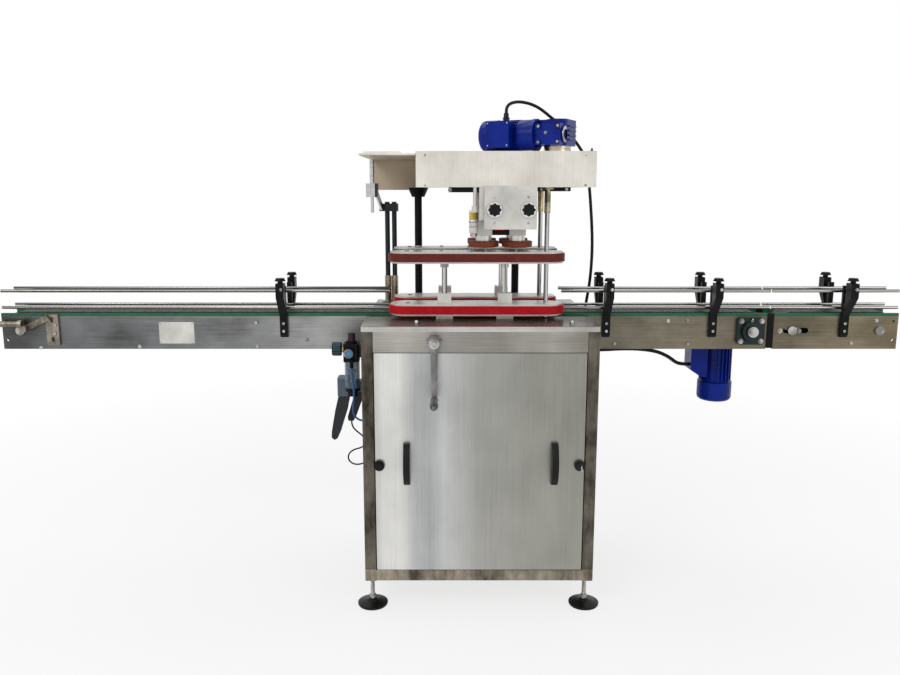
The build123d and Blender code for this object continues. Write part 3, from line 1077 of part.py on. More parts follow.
with BuildPart() as front_idler:
    idler_shafts_of_row(GRIP_ROWS[0])
front_idler.part.label = "front_idler"
export_step(front_idler.part, "parts/front_idler.step")

with BuildPart() as rear_idler:
    idler_shafts_of_row(GRIP_ROWS[1])
rear_idler.part.label = "rear_idler"
export_step(rear_idler.part, "parts/rear_idler.step")

with BuildPart() as drive_bushes:
    for row_y in GRIP_ROWS:
        rod_z(BUSH_BOTTOM, HEAD_BOTTOM, PULLEY_RIGHT, row_y, BUSH_RADIUS)
        rod_z(HEAD_BOTTOM - 7, HEAD_BOTTOM, PULLEY_RIGHT, row_y, 22)
        rod_z(BUSH_BOTTOM - 1, HEAD_BOTTOM + 1, PULLEY_RIGHT, row_y,
              GRIP_SHAFT_RADIUS + RUNNING_FIT, Mode.SUBTRACT)
drive_bushes.part.label = "drive_bushes"
export_step(drive_bushes.part, "parts/drive_bushes.step")

# Cable of the head motor: over the gearbox, down beside the head and into an elbow on the cabinet
ELBOW_X = 452.0
ELBOW_Y = 150.0
ELBOW_TOP = 846.0
GLAND_LOCAL = (GLAND_X, GLAND_Y, MOTOR_AXIS_Z + TERMINAL_HEIGHT / 2 + GLAND_HEIGHT - 1)
GLAND_TOP = GEAR_PLANE.from_local_coords(Vector(*GLAND_LOCAL))
# The arch leaves the gland upright and runs back to the right, in one upright plane
ARCH_WAY = (0.83, 0.558)
ARCH_PROFILE = [
    (0, 0), (0, 9), (2.5, 18), (8.5, 25.5), (18, 31), (30, 34.5), (45, 36.8), (63, 37), (84, 35.2),
    (106, 31), (127, 24.5), (147, 15.8), (166, 5.5), (184, -4.5),
]
ARCH_POINTS = [
    (GLAND_TOP.X + ARCH_WAY[0] * run, GLAND_TOP.Y + ARCH_WAY[1] * run, GLAND_TOP.Z + rise)
    for run, rise in ARCH_PROFILE
]
HEAD_CABLE_POINTS = ARCH_POINTS + [
    (345, 178.5, 1497.5), (361, 182, 1484.5), (378, 183, 1470), (394, 181.5, 1452.5), (413, 178, 1430),
    (441, 172, 1388), (450, 164, 1337), (457, 157, 1280), (462, 153, 1222), (467, 151, 1160),
    (470, 150, 1098), (469, 149, 1036), (465, 149, 976), (457, 150, 922), (ELBOW_X, ELBOW_Y, 884),
    (ELBOW_X, ELBOW_Y, ELBOW_TOP),
]
CABLE_RADIUS = 5.0
with BuildPart() as head_cable:
    cord_tube(HEAD_CABLE_POINTS, CABLE_RADIUS)
head_cable.part.label = "head_cable"
export_step(head_cable.part, "parts/head_cable.step")


# Sensor arm: two posts on the table, a slanted flat bar and a long upright sensor
ARM_POSTS = ((-217.0, 300.0), (-193.0, 300.0))
SENSOR_X = -243.0
SENSOR_Y = 30.0
SENSOR_TOP = 1370.0
with BuildPart() as arm_posts:
    for arm_x, arm_y in ARM_POSTS:
        rod_z(TABLE_TOP, 1238, arm_x, arm_y, 8.5)
        rod_z(TABLE_TOP, 983, arm_x, arm_y, 11.7)
    rod_z(TABLE_TOP, TABLE_TOP + 6, ARM_POSTS[0][0], ARM_POSTS[0][1], 22)
    block(SENSOR_X, ARM_POSTS[1][0] + 14, 286, 314, 1206, 1232)
arm_posts.part.label = "arm_posts"
export_step(arm_posts.part, "parts/arm_posts.step")

with BuildPart() as sensor_arm:
    with BuildSketch(Plane.YZ.offset(SENSOR_X + 4)):
        with BuildLine():
            Polyline((286, 1208), (286, 1230), (SENSOR_Y + 20, 1290), (SENSOR_Y + 20, 1266), (286, 1208))
        make_face()
    extrude(amount=8)
    block(SENSOR_X - 18, SENSOR_X + 18, SENSOR_Y - 14, SENSOR_Y + 22, 1256, 1298)
    rod_z(1296, SENSOR_TOP, SENSOR_X, SENSOR_Y, 7)
    rod_z(1208, 1258, SENSOR_X, SENSOR_Y, 5)
sensor_arm.part.label = "sensor_arm"
export_step(sensor_arm.part, "parts/sensor_arm.step")

# Slotted bracket and air cylinder at the infeed end
BRACKET_FACE = CONVEYOR_Y - HALF_WIDTH
with BuildPart() as end_bracket:
    block(-1268, -1229, BRACKET_FACE - 8, BRACKET_FACE, 797, 894)
    with BuildSketch(Plane.XZ.offset(-BRACKET_FACE + 8)):
        with BuildLine():
            Polyline((-1262, 894), (-1252, 878), (-1326, 842), (-1336, 858), (-1262, 894))
        make_face()
    extrude(amount=6)
    rod_x(CONVEYOR_LEFT, -1344, BRACKET_FACE - 22, 866, 9.5)
    rod_x(-1346, -1334, BRACKET_FACE - 22, 866, 13)
    block(-1340, -1322, BRACKET_FACE - 30, BRACKET_FACE - 8, 842, 860)
    with BuildSketch(Plane.XZ.offset(-BRACKET_FACE + 9)):
        with Locations((-1248.5, 846)):
            with GridLocations(0, 62, 1, 2):
                SlotOverall(17, 9, rotation=90)
    extrude(amount=-12, mode=Mode.SUBTRACT)
end_bracket.part.label = "end_bracket"
export_step(end_bracket.part, "parts/end_bracket.step")

# Air service unit on the cabinet's left side: body, clear bowl and regulator knob
AIR_X = -295.0
AIR_Y = -150.0
with BuildPart() as air_unit:
    block(AIR_X - 24, AIR_X + 22, AIR_Y - 22, AIR_Y + 22, 771, 826)
    fillet(air_unit.edges().filter_by(Axis.Z), 5)
    rod_z(826, 832.5, AIR_X, AIR_Y, 17)
    block(AIR_X + 20, CABINET_LEFT, AIR_Y - 16, AIR_Y + 16, 785, 818)
    # Gauge in front, quick coupling and shut-off wheel on the left
    rod_y(AIR_Y - 36, AIR_Y - 22, AIR_X - 6, 800, 14)
    rod_x(AIR_X - 32, AIR_X - 22, AIR_Y, 806, 7)
    rod_x(AIR_X - 58, AIR_X - 31, AIR_Y, 808, 20)
    # Push-in elbow for the air hose, which leaves it downwards
    rod_y(AIR_Y - 44, AIR_Y - 22, AIR_X + 2, 777, 5)
    rod_z(758, 777, AIR_X + 2, AIR_Y - 40, 5.5)
    # Guard ring and drain under the bowl
    rod_z(664, 690, AIR_X, AIR_Y, 16)
    rod_z(680, 690, AIR_X, AIR_Y, 23)
air_unit.part.label = "air_unit"
export_step(air_unit.part, "parts/air_unit.step")

with BuildPart() as air_bowl:
    rod_z(690, 771, AIR_X, AIR_Y, 23)
    rod_z(694, 771, AIR_X, AIR_Y, 20.5, Mode.SUBTRACT)
air_bowl.part.label = "air_bowl"
export_step(air_bowl.part, "parts/air_bowl.step")

with BuildPart() as regulator_knob:
    with BuildSketch(Plane.XY.offset(832.8)):
        with Locations((AIR_X, AIR_Y)):
            Circle(11.5)
            with PolarLocations(12.5, 12):
                Circle(1.6, mode=Mode.SUBTRACT)
    extrude(amount=24, taper=2)
    rod_z(856, 857.6, AIR_X, AIR_Y, 6)
regulator_knob.part.label = "regulator_knob"
export_step(regulator_knob.part, "parts/regulator_knob.step")

# Grey socket box with its plug, on the cabinet's left side behind the air unit
with BuildPart() as side_fittings:
    block(-348, -306, -108, -52, 650, 706)
    fillet(side_fittings.edges().filter_by(Axis.Z), 6)
    block(-306, CABINET_LEFT, -98, -62, 662, 696)
    with BuildSketch(Plane.XZ.offset(62)):
        with BuildLine():
            Polyline((-346, 650), (-312, 650), (-322, 600), (-344, 530), (-352, 512), (-362, 506),
                     (-371, 514), (-370, 534), (-358, 600), (-346, 650))
        make_face()
    extrude(amount=34)
    # Second plug, on a short bracket nearer to the cabinet
    block(-300, CABINET_LEFT, -42, -10, 652, 660)
    with BuildSketch(Plane.XZ.offset(10)):
        with BuildLine():
            Polyline((-300, 660), (-274, 660), (-280, 620), (-300, 566), (-308, 553), (-324, 553),
                     (-326, 566), (-310, 620), (-300, 660))
        make_face()
    extrude(amount=32)
    # Elbow on the other side of the cabinet, where the head cable goes in
    rod_z(800, ELBOW_TOP, ELBOW_X, ELBOW_Y, 9)
    rod_x(CABINET_RIGHT, ELBOW_X, ELBOW_Y, 806, 8)
    with BuildSketch(Plane.XY.offset(826)):
        with Locations((ELBOW_X, ELBOW_Y)):
            RegularPolygon(11.5, 6)
    extrude(amount=11)
side_fittings.part.label = "side_fittings"
export_step(side_fittings.part, "parts/side_fittings.step")

# Air hose from the gauge port down to the cabinet's side, and the cable from the plug
HOSE_POINTS = [
    (AIR_X + 2, AIR_Y - 40, 758), (AIR_X + 2, AIR_Y - 40, 744), (AIR_X + 4, AIR_Y - 38, 722),
    (AIR_X + 7, AIR_Y - 31, 696), (AIR_X + 6, AIR_Y - 21, 668), (AIR_X + 2, AIR_Y - 10, 642),
    (AIR_X, AIR_Y - 2, 622), (AIR_X, AIR_Y + 3, 607), (AIR_X + 4.5, AIR_Y + 6, 596),
    (AIR_X + 13, AIR_Y + 7, 587.5), (AIR_X + 24, AIR_Y + 7, 583), (CABINET_LEFT, AIR_Y + 7, 583),
]
with BuildPart() as air_hose:
    cord_tube(HOSE_POINTS, 3)
air_hose.part.label = "air_hose"
export_step(air_hose.part, "parts/air_hose.step")

LOOP_POINTS = [
    (-316, -25, 553), (-316, -25, 538), (-310, -23, 523), (-299, -18, 510), (-287, -11, 498),
    (-278, -2, 484), (-275, 8, 468), (-281, 15, 453), (-294, 18, 444), (-311, 18, 440),
    (-327, 15, 432), (-335, 11, 418), (-331, 8, 403), (-319, 6, 394), (-304, 6, 391),
    (-289, 7, 393.5), (-274, 8, 399), (CABINET_LEFT, 8, 401),
]
with BuildPart() as side_cable:
    cord_tube(LOOP_POINTS, 2.5)
side_cable.part.label = "side_cable"
export_step(side_cable.part, "parts/side_cable.step")
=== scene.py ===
# %% [markdown]
# # A linear screw capping machine
#
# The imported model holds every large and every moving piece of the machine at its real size.
# This script gives those pieces their finish, and adds what is too small for the model:
# bolts, screws and nuts, a bare nameplate, the marks of dials and gauge, and small fittings.
#
# X runs along the conveyor, Y runs away from the operator and Z is up. Blender works in
# metres. Small shapes are worked out in millimetres and turned into metres at the end.

import json
import math

import bmesh
import bpy
import numpy as np
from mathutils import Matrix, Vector


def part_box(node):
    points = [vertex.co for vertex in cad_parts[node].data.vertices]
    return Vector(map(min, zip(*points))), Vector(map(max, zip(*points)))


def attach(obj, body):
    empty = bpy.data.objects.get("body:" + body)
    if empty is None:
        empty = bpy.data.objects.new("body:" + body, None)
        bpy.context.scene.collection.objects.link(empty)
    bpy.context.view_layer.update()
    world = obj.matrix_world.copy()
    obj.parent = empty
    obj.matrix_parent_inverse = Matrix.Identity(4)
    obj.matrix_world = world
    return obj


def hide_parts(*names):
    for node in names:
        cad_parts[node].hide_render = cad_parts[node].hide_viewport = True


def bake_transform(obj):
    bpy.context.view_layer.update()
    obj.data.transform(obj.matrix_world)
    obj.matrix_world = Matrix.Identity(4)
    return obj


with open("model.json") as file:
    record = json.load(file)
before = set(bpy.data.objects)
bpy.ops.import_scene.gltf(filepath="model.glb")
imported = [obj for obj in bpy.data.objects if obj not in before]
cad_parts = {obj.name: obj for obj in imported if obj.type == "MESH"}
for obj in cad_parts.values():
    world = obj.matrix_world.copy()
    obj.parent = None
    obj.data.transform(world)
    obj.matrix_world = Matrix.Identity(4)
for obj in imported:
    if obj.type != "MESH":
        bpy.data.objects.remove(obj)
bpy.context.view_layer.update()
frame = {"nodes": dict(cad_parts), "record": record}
nodes = frame["nodes"]
print("pieces in the frame:", len(nodes))

# %% [markdown]
# ## Camera
#
# The camera stands 2.57 m in front of the machine's middle and 1.28 m above the floor, and
# looks down by about ten degrees. It could be turned by hand until the view looks right.
# Here place, pitch and lens are sizes that were worked out once from the machine's straight
# edges, so the same view can be set up again.

# %% Camera
CAMERA_PLACE = (0.0, -2.570, 1.278)
CAMERA_PITCH = 10.2
CAMERA_LENS = 32.8
SENSOR_WIDTH = 36.0

camera_data = bpy.data.cameras.new("camera")
camera_data.lens = CAMERA_LENS
camera_data.sensor_width = SENSOR_WIDTH
camera = bpy.data.objects.new("camera", camera_data)
camera.location = CAMERA_PLACE
camera.rotation_euler = (math.radians(90 - CAMERA_PITCH), 0, 0)
bpy.context.scene.collection.objects.link(camera)
bpy.context.scene.camera = camera
print("camera at", CAMERA_PLACE)

# %% [markdown]
# ## Light
#
# The machine stands on a white ground in soft light. A very bright world would give a white
# ground too, but it would wash out the enamel and the steel. So the world has a strength of
# 1 only for rays that come from the camera, from glossy surfaces or through the clear bowl,
# and a lower level for the light it sheds. Three large area lamps make soft shadows.


# %% Light and surround
def soft_light(name, place, aim, size, power):
    """Add a white area light at a place, turned to the point it is aimed at."""
    data = bpy.data.lights.new(name, "AREA")
    data.shape = "RECTANGLE"
    data.size, data.size_y = size
    data.energy = power
    light = bpy.data.objects.new(name, data)
    light.location = place
    light.rotation_euler = (Vector(aim) - Vector(place)).to_track_quat("-Z", "Y").to_euler()
    bpy.context.scene.collection.objects.link(light)


def seen_directly(tree):
    """A value of 1 for rays from the camera, from glossy surfaces and through clear ones."""
    path = tree.nodes.new("ShaderNodeLightPath")
    total = path.outputs["Is Camera Ray"]
    for name in ("Is Glossy Ray", "Is Transmission Ray"):
        added = tree.nodes.new("ShaderNodeMath")
        added.operation = "MAXIMUM"
        tree.links.new(total, added.inputs[0])
        tree.links.new(path.outputs[name], added.inputs[1])
        total = added.outputs[0]
    return total


def white_surround(level):
    """A world that looks white, and lights the machine at a lower level."""
    world = bpy.data.worlds.new("surround")
    world.use_nodes = True
    tree = world.node_tree
    strength = tree.nodes.new("ShaderNodeMapRange")
    tree.links.new(seen_directly(tree), strength.inputs["Value"])
    strength.inputs["To Min"].default_value = level
    strength.inputs["To Max"].default_value = 1.0
    background = tree.nodes["Background"]
    background.inputs["Color"].default_value = (1.0, 1.0, 1.0, 1.0)
    tree.links.new(strength.outputs["Result"], background.inputs["Strength"])
    bpy.context.scene.world = world


WORLD_LEVEL = 0.42
KEY_WATTS = 62
FILL_WATTS = 20
OVERHEAD_WATTS = 40
white_surround(WORLD_LEVEL)
soft_light("key", (-2.2, -3.2, 3.4), (0, 0, 0.9), (2.2, 1.4), KEY_WATTS)
soft_light("fill", (2.8, -2.6, 2.2), (0.1, 0, 0.9), (1.6, 1.6), FILL_WATTS)
soft_light("overhead", (0, 0.6, 3.6), (0, 0.1, 0.9), (3.2, 2.0), OVERHEAD_WATTS)
bpy.context.scene.view_settings.view_transform = "Standard"
print("lamp power:", KEY_WATTS + FILL_WATTS + OVERHEAD_WATTS, "W")

# %% [markdown]
# ## Finishes
#
# The machine is made of ground stainless sheet, polished bar, enamel, rubber and moulded
# plastic. Pictures of such surfaces could be laid on them, but they would need unfolding and
# would blur close up. Here each finish is one Principled shader with a few procedural nodes:
# grain that is stretched along the grinding direction, slow changes of tone, and a fine bump.
# They read object coordinates, so they fit every piece without unfolding.


# %% Shader tools
class Finish:
    """A material around one Principled shader, with short calls for the usual nodes."""

    def __init__(self, name, metallic=0.0, roughness=0.5, **sockets):
        self.material = bpy.data.materials.new(name)
        self.material.use_nodes = True
        self.tree = self.material.node_tree
        self.shader = self.tree.nodes["Principled BSDF"]
        self.set(Metallic=metallic, Roughness=roughness, **sockets)
        self.coordinates = self.tree.nodes.new("ShaderNodeTexCoord").outputs["Object"]

    def set(self, **sockets):
        """Set sockets of the shader by name, with _ for a space."""
        for name, value in sockets.items():
            self.shader.inputs[name.replace("_", " ")].default_value = value

    def node(self, kind, inputs=(), **settings):
        """Add one node, set its properties and link or set its inputs."""
        made = self.tree.nodes.new("ShaderNode" + kind)
        for key, value in settings.items():
            setattr(made, key, value)
        for key, value in dict(inputs).items():
            if isinstance(value, bpy.types.NodeSocket):
                self.tree.links.new(value, made.inputs[key])
            else:
                made.inputs[key].default_value = value
        return made

    def stretched(self, scale):
        """Object coordinates times a scale for each axis."""
        return self.node("Mapping", {"Vector": self.coordinates, "Scale": scale}).outputs["Vector"]

    def noise(self, scale, detail=3.0, rough=0.5):
        """Noise from 0 to 1, at a scale for each axis in waves per metre."""
        made = self.node("TexNoise", {"Vector": self.stretched(scale), "Scale": 1.0,
                                      "Detail": detail, "Roughness": rough})
        return made.outputs["Fac"]

    def ramp(self, value, stops):
        """Map a value through coloured stops, each a place and a colour."""
        made = self.node("ValToRGB", {"Fac": value})
        elements = made.color_ramp.elements
        while len(elements) < len(stops):
            elements.new(0.5)
        for element, (place, colour) in zip(elements, stops):
            element.position = place
            element.color = (*colour, 1.0)
        return made.outputs["Color"]

    def between(self, value, low, high, start=0.0, end=1.0):
        """Map a value from start..end to low..high."""
        return self.node("MapRange", {"Value": value, "From Min": start, "From Max": end,
                                      "To Min": low, "To Max": high}).outputs["Result"]

    def mix(self, factor, first, second, blend="MIX"):
        """Blend two colours by a factor. Inputs 0, 6 and 7 are the factor and the colours."""
        made = self.node("Mix", {0: factor, 6: first, 7: second}, data_type="RGBA", blend_type=blend)
        return made.outputs[2]

    def axis(self, name):
        """One of the object coordinates: X, Y or Z."""
        return self.node("SeparateXYZ", {"Vector": self.coordinates}).outputs[name]

    def math(self, operation, first, second=0.0):
        """One arithmetic step between two values."""
        return self.node("Math", {0: first, 1: second}, operation=operation).outputs[0]

    def link(self, name, value):
        """Link a value to a socket of the shader."""
        self.tree.links.new(value, self.shader.inputs[name])
        return self

    def paint(self, colour):
        """Link the base colour."""
        return self.link("Base Color", colour)

    def wear(self, value, roughness, less, more):
        """Roughness from a little less to a little more than given, where the value changes."""
        spread = self.between(value, roughness - less, roughness + more, 0.3, 0.7)
        return self.link("Roughness", spread)

    def bump(self, height, strength, distance):
        """Raise the surface by a height map, with distance in metres."""
        made = self.node("Bump", {"Height": height, "Strength": strength, "Distance": distance})
        return self.link("Normal", made.outputs["Normal"])


def shade(colour, factor, lift=0.0):
    """A colour times a factor, plus a lift, for each channel."""
    return tuple(channel * factor + lift for channel in colour)


# %% [markdown]
# ## Sheet metal
#
# A ground sheet shows fine scratches along one direction and slow cloudy changes of tone.
# One noise could only give one of them. Two are added: a stretched one for the scratches and
# a slow one for the clouds. A sheet that also changes from one end to the other, as a door
# does that mirrors a bright wall, is multiplied by a tint that runs along an axis. On the door
# this tint is a painted reflection, on the frame's bottom rail a painted highlight and on the
# table's top painted shade.


# %% Sheet metal
GRAIN_SHARE = 0.3
CLOUD_SHARE = 0.7


def brushed(name, dark, light, roughness, grain, cloud, metallic=0.9):
    """Fine grain along the axes of low scale, and slow cloudy tone, both in waves per metre."""
    finish = Finish(name, metallic=metallic, roughness=roughness)
    streaks = finish.noise(grain, detail=4.0, rough=0.65)
    clouds = finish.noise(cloud, detail=4.0, rough=0.6)
    tone = finish.math("ADD", finish.math("MULTIPLY", streaks, GRAIN_SHARE),
                       finish.math("MULTIPLY", clouds, CLOUD_SHARE))
    finish.tone = finish.ramp(tone, [(0.36, dark), (0.62, light)])
    finish.paint(finish.tone)
    finish.wear(streaks, roughness, 0.08, 0.10)
    return finish.bump(streaks, 0.25, 0.0002)


def tinted(finish, tint):
    """The sheet's own tone multiplied by a tint."""
    return finish.mix(1.0, finish.tone, tint, "MULTIPLY")


def toned_along(finish, axis, stops):
    """Multiply a sheet's colour by tints along an axis, given as pairs of a place and a tint."""
    places = [place for place, tint in stops]
    span = finish.between(finish.axis(axis), 0.0, 1.0, places[0], places[-1])
    width = places[-1] - places[0]
    tint = finish.ramp(span, [((place - places[0]) / width, colour) for place, colour in stops])
    return finish.paint(tinted(finish, tint))


# %% [markdown]
# ## Bars, enamel and plastic
#
# A polished bar mirrors its surroundings as streaks along its length. An exact mirror would
# only show the white ground, so the streaks are painted in. Sprayed enamel is glossy with a
# skin like orange peel. Moulded plastic has a fine grain. A screw's thread is far too fine
# to model, so it is a sine wave along Z that bumps the surface and darkens its grooves with
# painted shade.


# %% Bars, enamel and plastic
def polished(name, colour, roughness=0.16, reflection_depth=0.45, reflection_bands=(30, 30, 30)):
    """Ground or polished bar: turning marks, and painted reflections as dark streaks along the axis of low
    scale.
    """
    finish = Finish(name, metallic=1.0, roughness=roughness)
    marks = finish.noise((400, 400, 60), detail=2.0)
    # The streaks are painted reflections: darker bands of the bar's own colour.
    streaks = finish.noise(reflection_bands, detail=2.0)
    finish.paint(finish.ramp(streaks, [(0.40, shade(colour, reflection_depth)), (0.60, colour)]))
    return finish.wear(marks, roughness, 0.05, 0.08)


def enamel(name, colour, roughness, gloss=0.3):
    """Sprayed enamel: gloss over a fine orange-peel bump, a little darker in patches."""
    finish = Finish(name, roughness=roughness, Specular_IOR_Level=gloss)
    patches = finish.noise((18, 18, 18), detail=4.0)
    finish.tone = finish.ramp(patches, [(0.38, shade(colour, 0.6)), (0.62, colour)])
    finish.paint(finish.tone)
    peel = finish.noise((420, 420, 420), detail=1.0)
    finish.wear(patches, roughness, 0.05, 0.12)
    return finish.bump(peel, 0.12, 0.0004)


def enamel_on_steel(name, colour, edge, steel):
    """Enamel above a height, and bare turned steel below it."""
    finish = enamel(name, colour, 0.24, gloss=0.16)
    bare = finish.math("LESS_THAN", finish.axis("Z"), edge)
    marks = finish.noise((30, 30, 500), detail=2.0)
    bright = finish.ramp(marks, [(0.35, shade(steel, 0.45)), (0.65, steel)])
    finish.paint(finish.mix(bare, finish.tone, bright))
    return finish.link("Metallic", bare)


def moulded(name, colour, roughness, grain=900.0, gloss=0.3):
    """Moulded plastic with a fine sparked grain and light rub marks."""
    finish = Finish(name, roughness=roughness, Specular_IOR_Level=gloss)
    rubs = finish.noise((40, 40, 18), detail=5.0, rough=0.7)
    finish.paint(finish.ramp(rubs, [(0.42, colour), (0.72, shade(colour, 1.3, 0.003))]))
    finish.wear(rubs, roughness, 0.08, 0.12)
    return finish.bump(finish.noise((grain, grain, grain), detail=2.0), 0.2, 0.0002)


def threaded(name, colour, pitch):
    """A screw's look: rings at the thread's pitch along Z, with painted shade in the grooves."""
    finish = Finish(name, metallic=1.0, roughness=0.3)
    rings = finish.math("SINE", finish.math("MULTIPLY", finish.axis("Z"), 2 * math.pi / pitch))
    height = finish.between(rings, 0.0, 1.0, -1.0, 1.0)
    # The dark end of the ramp is painted shade in the thread's grooves.
    finish.paint(finish.ramp(height, [(0.2, shade(colour, 0.35)), (0.7, colour)]))
    return finish.bump(rings, 0.6, pitch * 0.3)


# %% [markdown]
# ## Belts, bowl and pieces of two finishes
#
# Belts are soft rubber with dust in their pores. The bowl of the air unit is clear plastic
# with a blue tint. Some pieces of the model are two real pieces, such as a rubber
# disc on its steel spindle. They could be cut apart, but the finish can change over at a
# known height instead, and the piece stays whole.


# %% Belts, bowl and pieces of two finishes
def rubber(name, colour, roughness):
    """Soft rubber with dusty patches and fine pores."""
    finish = Finish(name, roughness=roughness, Specular_IOR_Level=0.15)
    dust = finish.noise((30, 30, 30), detail=5.0, rough=0.7)
    finish.paint(finish.ramp(dust, [(0.45, colour), (0.75, shade(colour, 1.3, 0.004))]))
    return finish.bump(finish.noise((1400, 1400, 1400), detail=2.0), 0.25, 0.0003)


def clear_bowl(name):
    """Clear moulded bowl with a blue tint."""
    finish = Finish(name, roughness=0.08, IOR=1.45, Alpha=0.5, Specular_IOR_Level=0.6)
    tint = finish.noise((90, 90, 12), detail=2.0)
    return finish.paint(finish.ramp(tint, [(0.4, (0.03, 0.06, 0.09)), (0.62, (0.22, 0.34, 0.46))]))


def two_tone(name, axis, edge, below, above, metallic=(0.0, 1.0), roughness=(0.55, 0.25)):
    """One piece with one finish below an edge on an axis and another above it."""
    finish = Finish(name, Specular_IOR_Level=0.3)
    upper = finish.math("GREATER_THAN", finish.axis(axis), edge)
    grain = finish.noise((120, 120, 120), detail=4.0)
    paints = [finish.ramp(grain, [(0.38, shade(colour, 0.8)), (0.62, colour)])
              for colour in (below, above)]
    finish.paint(finish.mix(upper, *paints))
    finish.link("Metallic", finish.between(upper, *metallic))
    finish.link("Roughness", finish.between(upper, *roughness))
    return finish.bump(grain, 0.15, 0.0003)


# %% [markdown]
# ## One finish for each material
#
# The model's record names a material for every piece. Finishes could be set up piece by
# piece, but then two pieces of the same steel could differ. So one is made for each material
# from a short list, and the pieces that look different follow after it.

# %% Finishes by material slot
SCREW_STEEL = (0.62, 0.60, 0.57)
COBALT = (0.001, 0.018, 0.27)
SLOT_FINISHES = [
    (enamel, "black_parts", (0.005, 0.005, 0.0055), 0.36, 0.12),
    (moulded, "black_plastic", (0.0045, 0.0045, 0.005), 0.30, 900.0, 0.18),
    (polished, "machined_steel", (0.50, 0.49, 0.47)),
    (brushed, "aluminium_parts", (0.46, 0.445, 0.41), (0.72, 0.70, 0.66), 0.36, (8, 300, 8),
     (9, 9, 7), 0.5),
    (polished, "brass_bushes", (0.52, 0.44, 0.28), 0.28, 0.3),
    (enamel, "blue_enamel", COBALT, 0.24, 0.16),
    (enamel, "green_enamel", (0.006, 0.022, 0.020), 0.32),
    (moulded, "green_strip", (0.010, 0.115, 0.045), 0.45),
    (moulded, "grey_chain", (0.030, 0.033, 0.033), 0.5),
    (rubber, "red_belt", (0.50, 0.006, 0.012), 0.5),
    (rubber, "brown_belt", (0.125, 0.020, 0.014), 0.55),
    (moulded, "black_cable", (0.007, 0.008, 0.010), 0.38, 1500.0, 0.15),
    (moulded, "blue_hose", (0.03, 0.10, 0.28), 0.3, 1500.0),
    (clear_bowl, "clear_bowl"),
    (moulded, "maroon_knob", (0.030, 0.010, 0.012), 0.4),
]
FINISHES = {name: make(name, *values) for make, name, *values in SLOT_FINISHES}
print("finishes by slot:", len(FINISHES))

# %% [markdown]
# ## Sheets that differ
#
# The stainless sheets of the real machine don't look alike. The door is lightly ground and
# carries a painted reflection, bright on its left, the frame around it is dark and blotchy with
# a painted highlight on its bottom rail, and the conveyor's side plates go from a cool grey on
# the left to a warm brown on the right. The head's sheet is pale, with painted shade, darker
# and browner, where it lines the open bay. One finish for all of them would look like plastic,
# so each gets its own. Places on an axis are in metres.

# %% Door, frame and panels
# The tints along X are a painted reflection: brightest from X -0.20 to -0.15, light again near -0.02, and
# greyer toward the right.
DOOR_WITH_PAINTED_REFLECTION = toned_along(
    brushed("door_sheet", (0.29, 0.29, 0.28), (0.42, 0.415, 0.40), 0.34, grain=(500, 6, 5), cloud=(3, 3, 2)),
    "X",
    [(-0.24, (1.2, 1.2, 1.2)), (-0.20, (2.0, 2.0, 2.0)), (-0.15, (2.1, 2.1, 2.1)),
     (-0.105, (1.35, 1.38, 1.42)), (-0.06, (1.2, 1.24, 1.3)), (-0.02, (1.55, 1.58, 1.62)),
     (0.08, (1.0, 1.0, 0.97)), (0.25, (0.86, 0.86, 0.80)), (0.42, (0.82, 0.81, 0.75))])
AS_IS = (1.0, 1.0, 1.0)
# The frame's bottom rail, from Z 0.09 to 0.137, is brightened by a painted highlight.
RAIL_PAINTED_HIGHLIGHT = (2.4, 2.4, 2.3)
FRAME = toned_along(
    brushed("frame_tube", (0.030, 0.026, 0.020), (0.16, 0.142, 0.115), 0.30, grain=(60, 60, 12),
            cloud=(14, 14, 9)),
    "Z", [(0.09, RAIL_PAINTED_HIGHLIGHT), (0.137, RAIL_PAINTED_HIGHLIGHT), (0.140, AS_IS), (0.9, AS_IS)])
PANELS = toned_along(
    brushed("cabinet_sheet", (0.22, 0.21, 0.19), (0.44, 0.42, 0.39), 0.30, grain=(5, 5, 400),
            cloud=(2.5, 2.5, 2)),
    "X",
    [(-0.26, (0.8, 0.8, 0.8)), (-0.15, (1.3, 1.3, 1.3)), (0.0, (0.9, 0.9, 0.9)),
     (0.15, (0.75, 0.74, 0.72)), (0.3, (1.1, 1.1, 1.08)), (0.44, (0.7, 0.68, 0.64))])
# The table's top face is darkened by painted shade. Its edges keep the sheet's own tone.
TABLE_TOP_PAINTED_SHADE = (0.42, 0.39, 0.36)
TABLE = toned_along(
    brushed("table_sheet", (0.30, 0.29, 0.27), (0.60, 0.59, 0.57), 0.28, grain=(5, 5, 300), cloud=(4, 4, 4)),
    "Z", [(0.870, AS_IS), (0.8880, AS_IS), (0.8892, TABLE_TOP_PAINTED_SHADE), (0.892, TABLE_TOP_PAINTED_SHADE)])

# %% Conveyor plates and head sheet
COOL = (0.85, 0.88, 0.90)
WARM = (0.55, 0.51, 0.41)
SIDES = toned_along(
    brushed("conveyor_sheet", (0.15, 0.145, 0.135), (0.42, 0.41, 0.395), 0.34, grain=(5, 5, 300),
            cloud=(3.5, 3, 5)),
    "X",
    [(-1.41, (0.30, 0.31, 0.33)), (-0.9, (0.60, 0.64, 0.68)), (-0.4, COOL), (0.5, WARM),
     (1.41, (0.60, 0.51, 0.35))])
BAY_RIGHT = -0.1005
BAY_ROOF = 1.379
# The sheet that lines the open bay is darkened and browned by this painted shade.
BAY_PAINTED_SHADE = (0.62, 0.53, 0.43, 1.0)
HEAD_SHEET = brushed("head_sheet", (0.64, 0.605, 0.54), (0.86, 0.83, 0.77), 0.42, grain=(700, 6, 8),
                     cloud=(7, 7, 6), metallic=0.35)
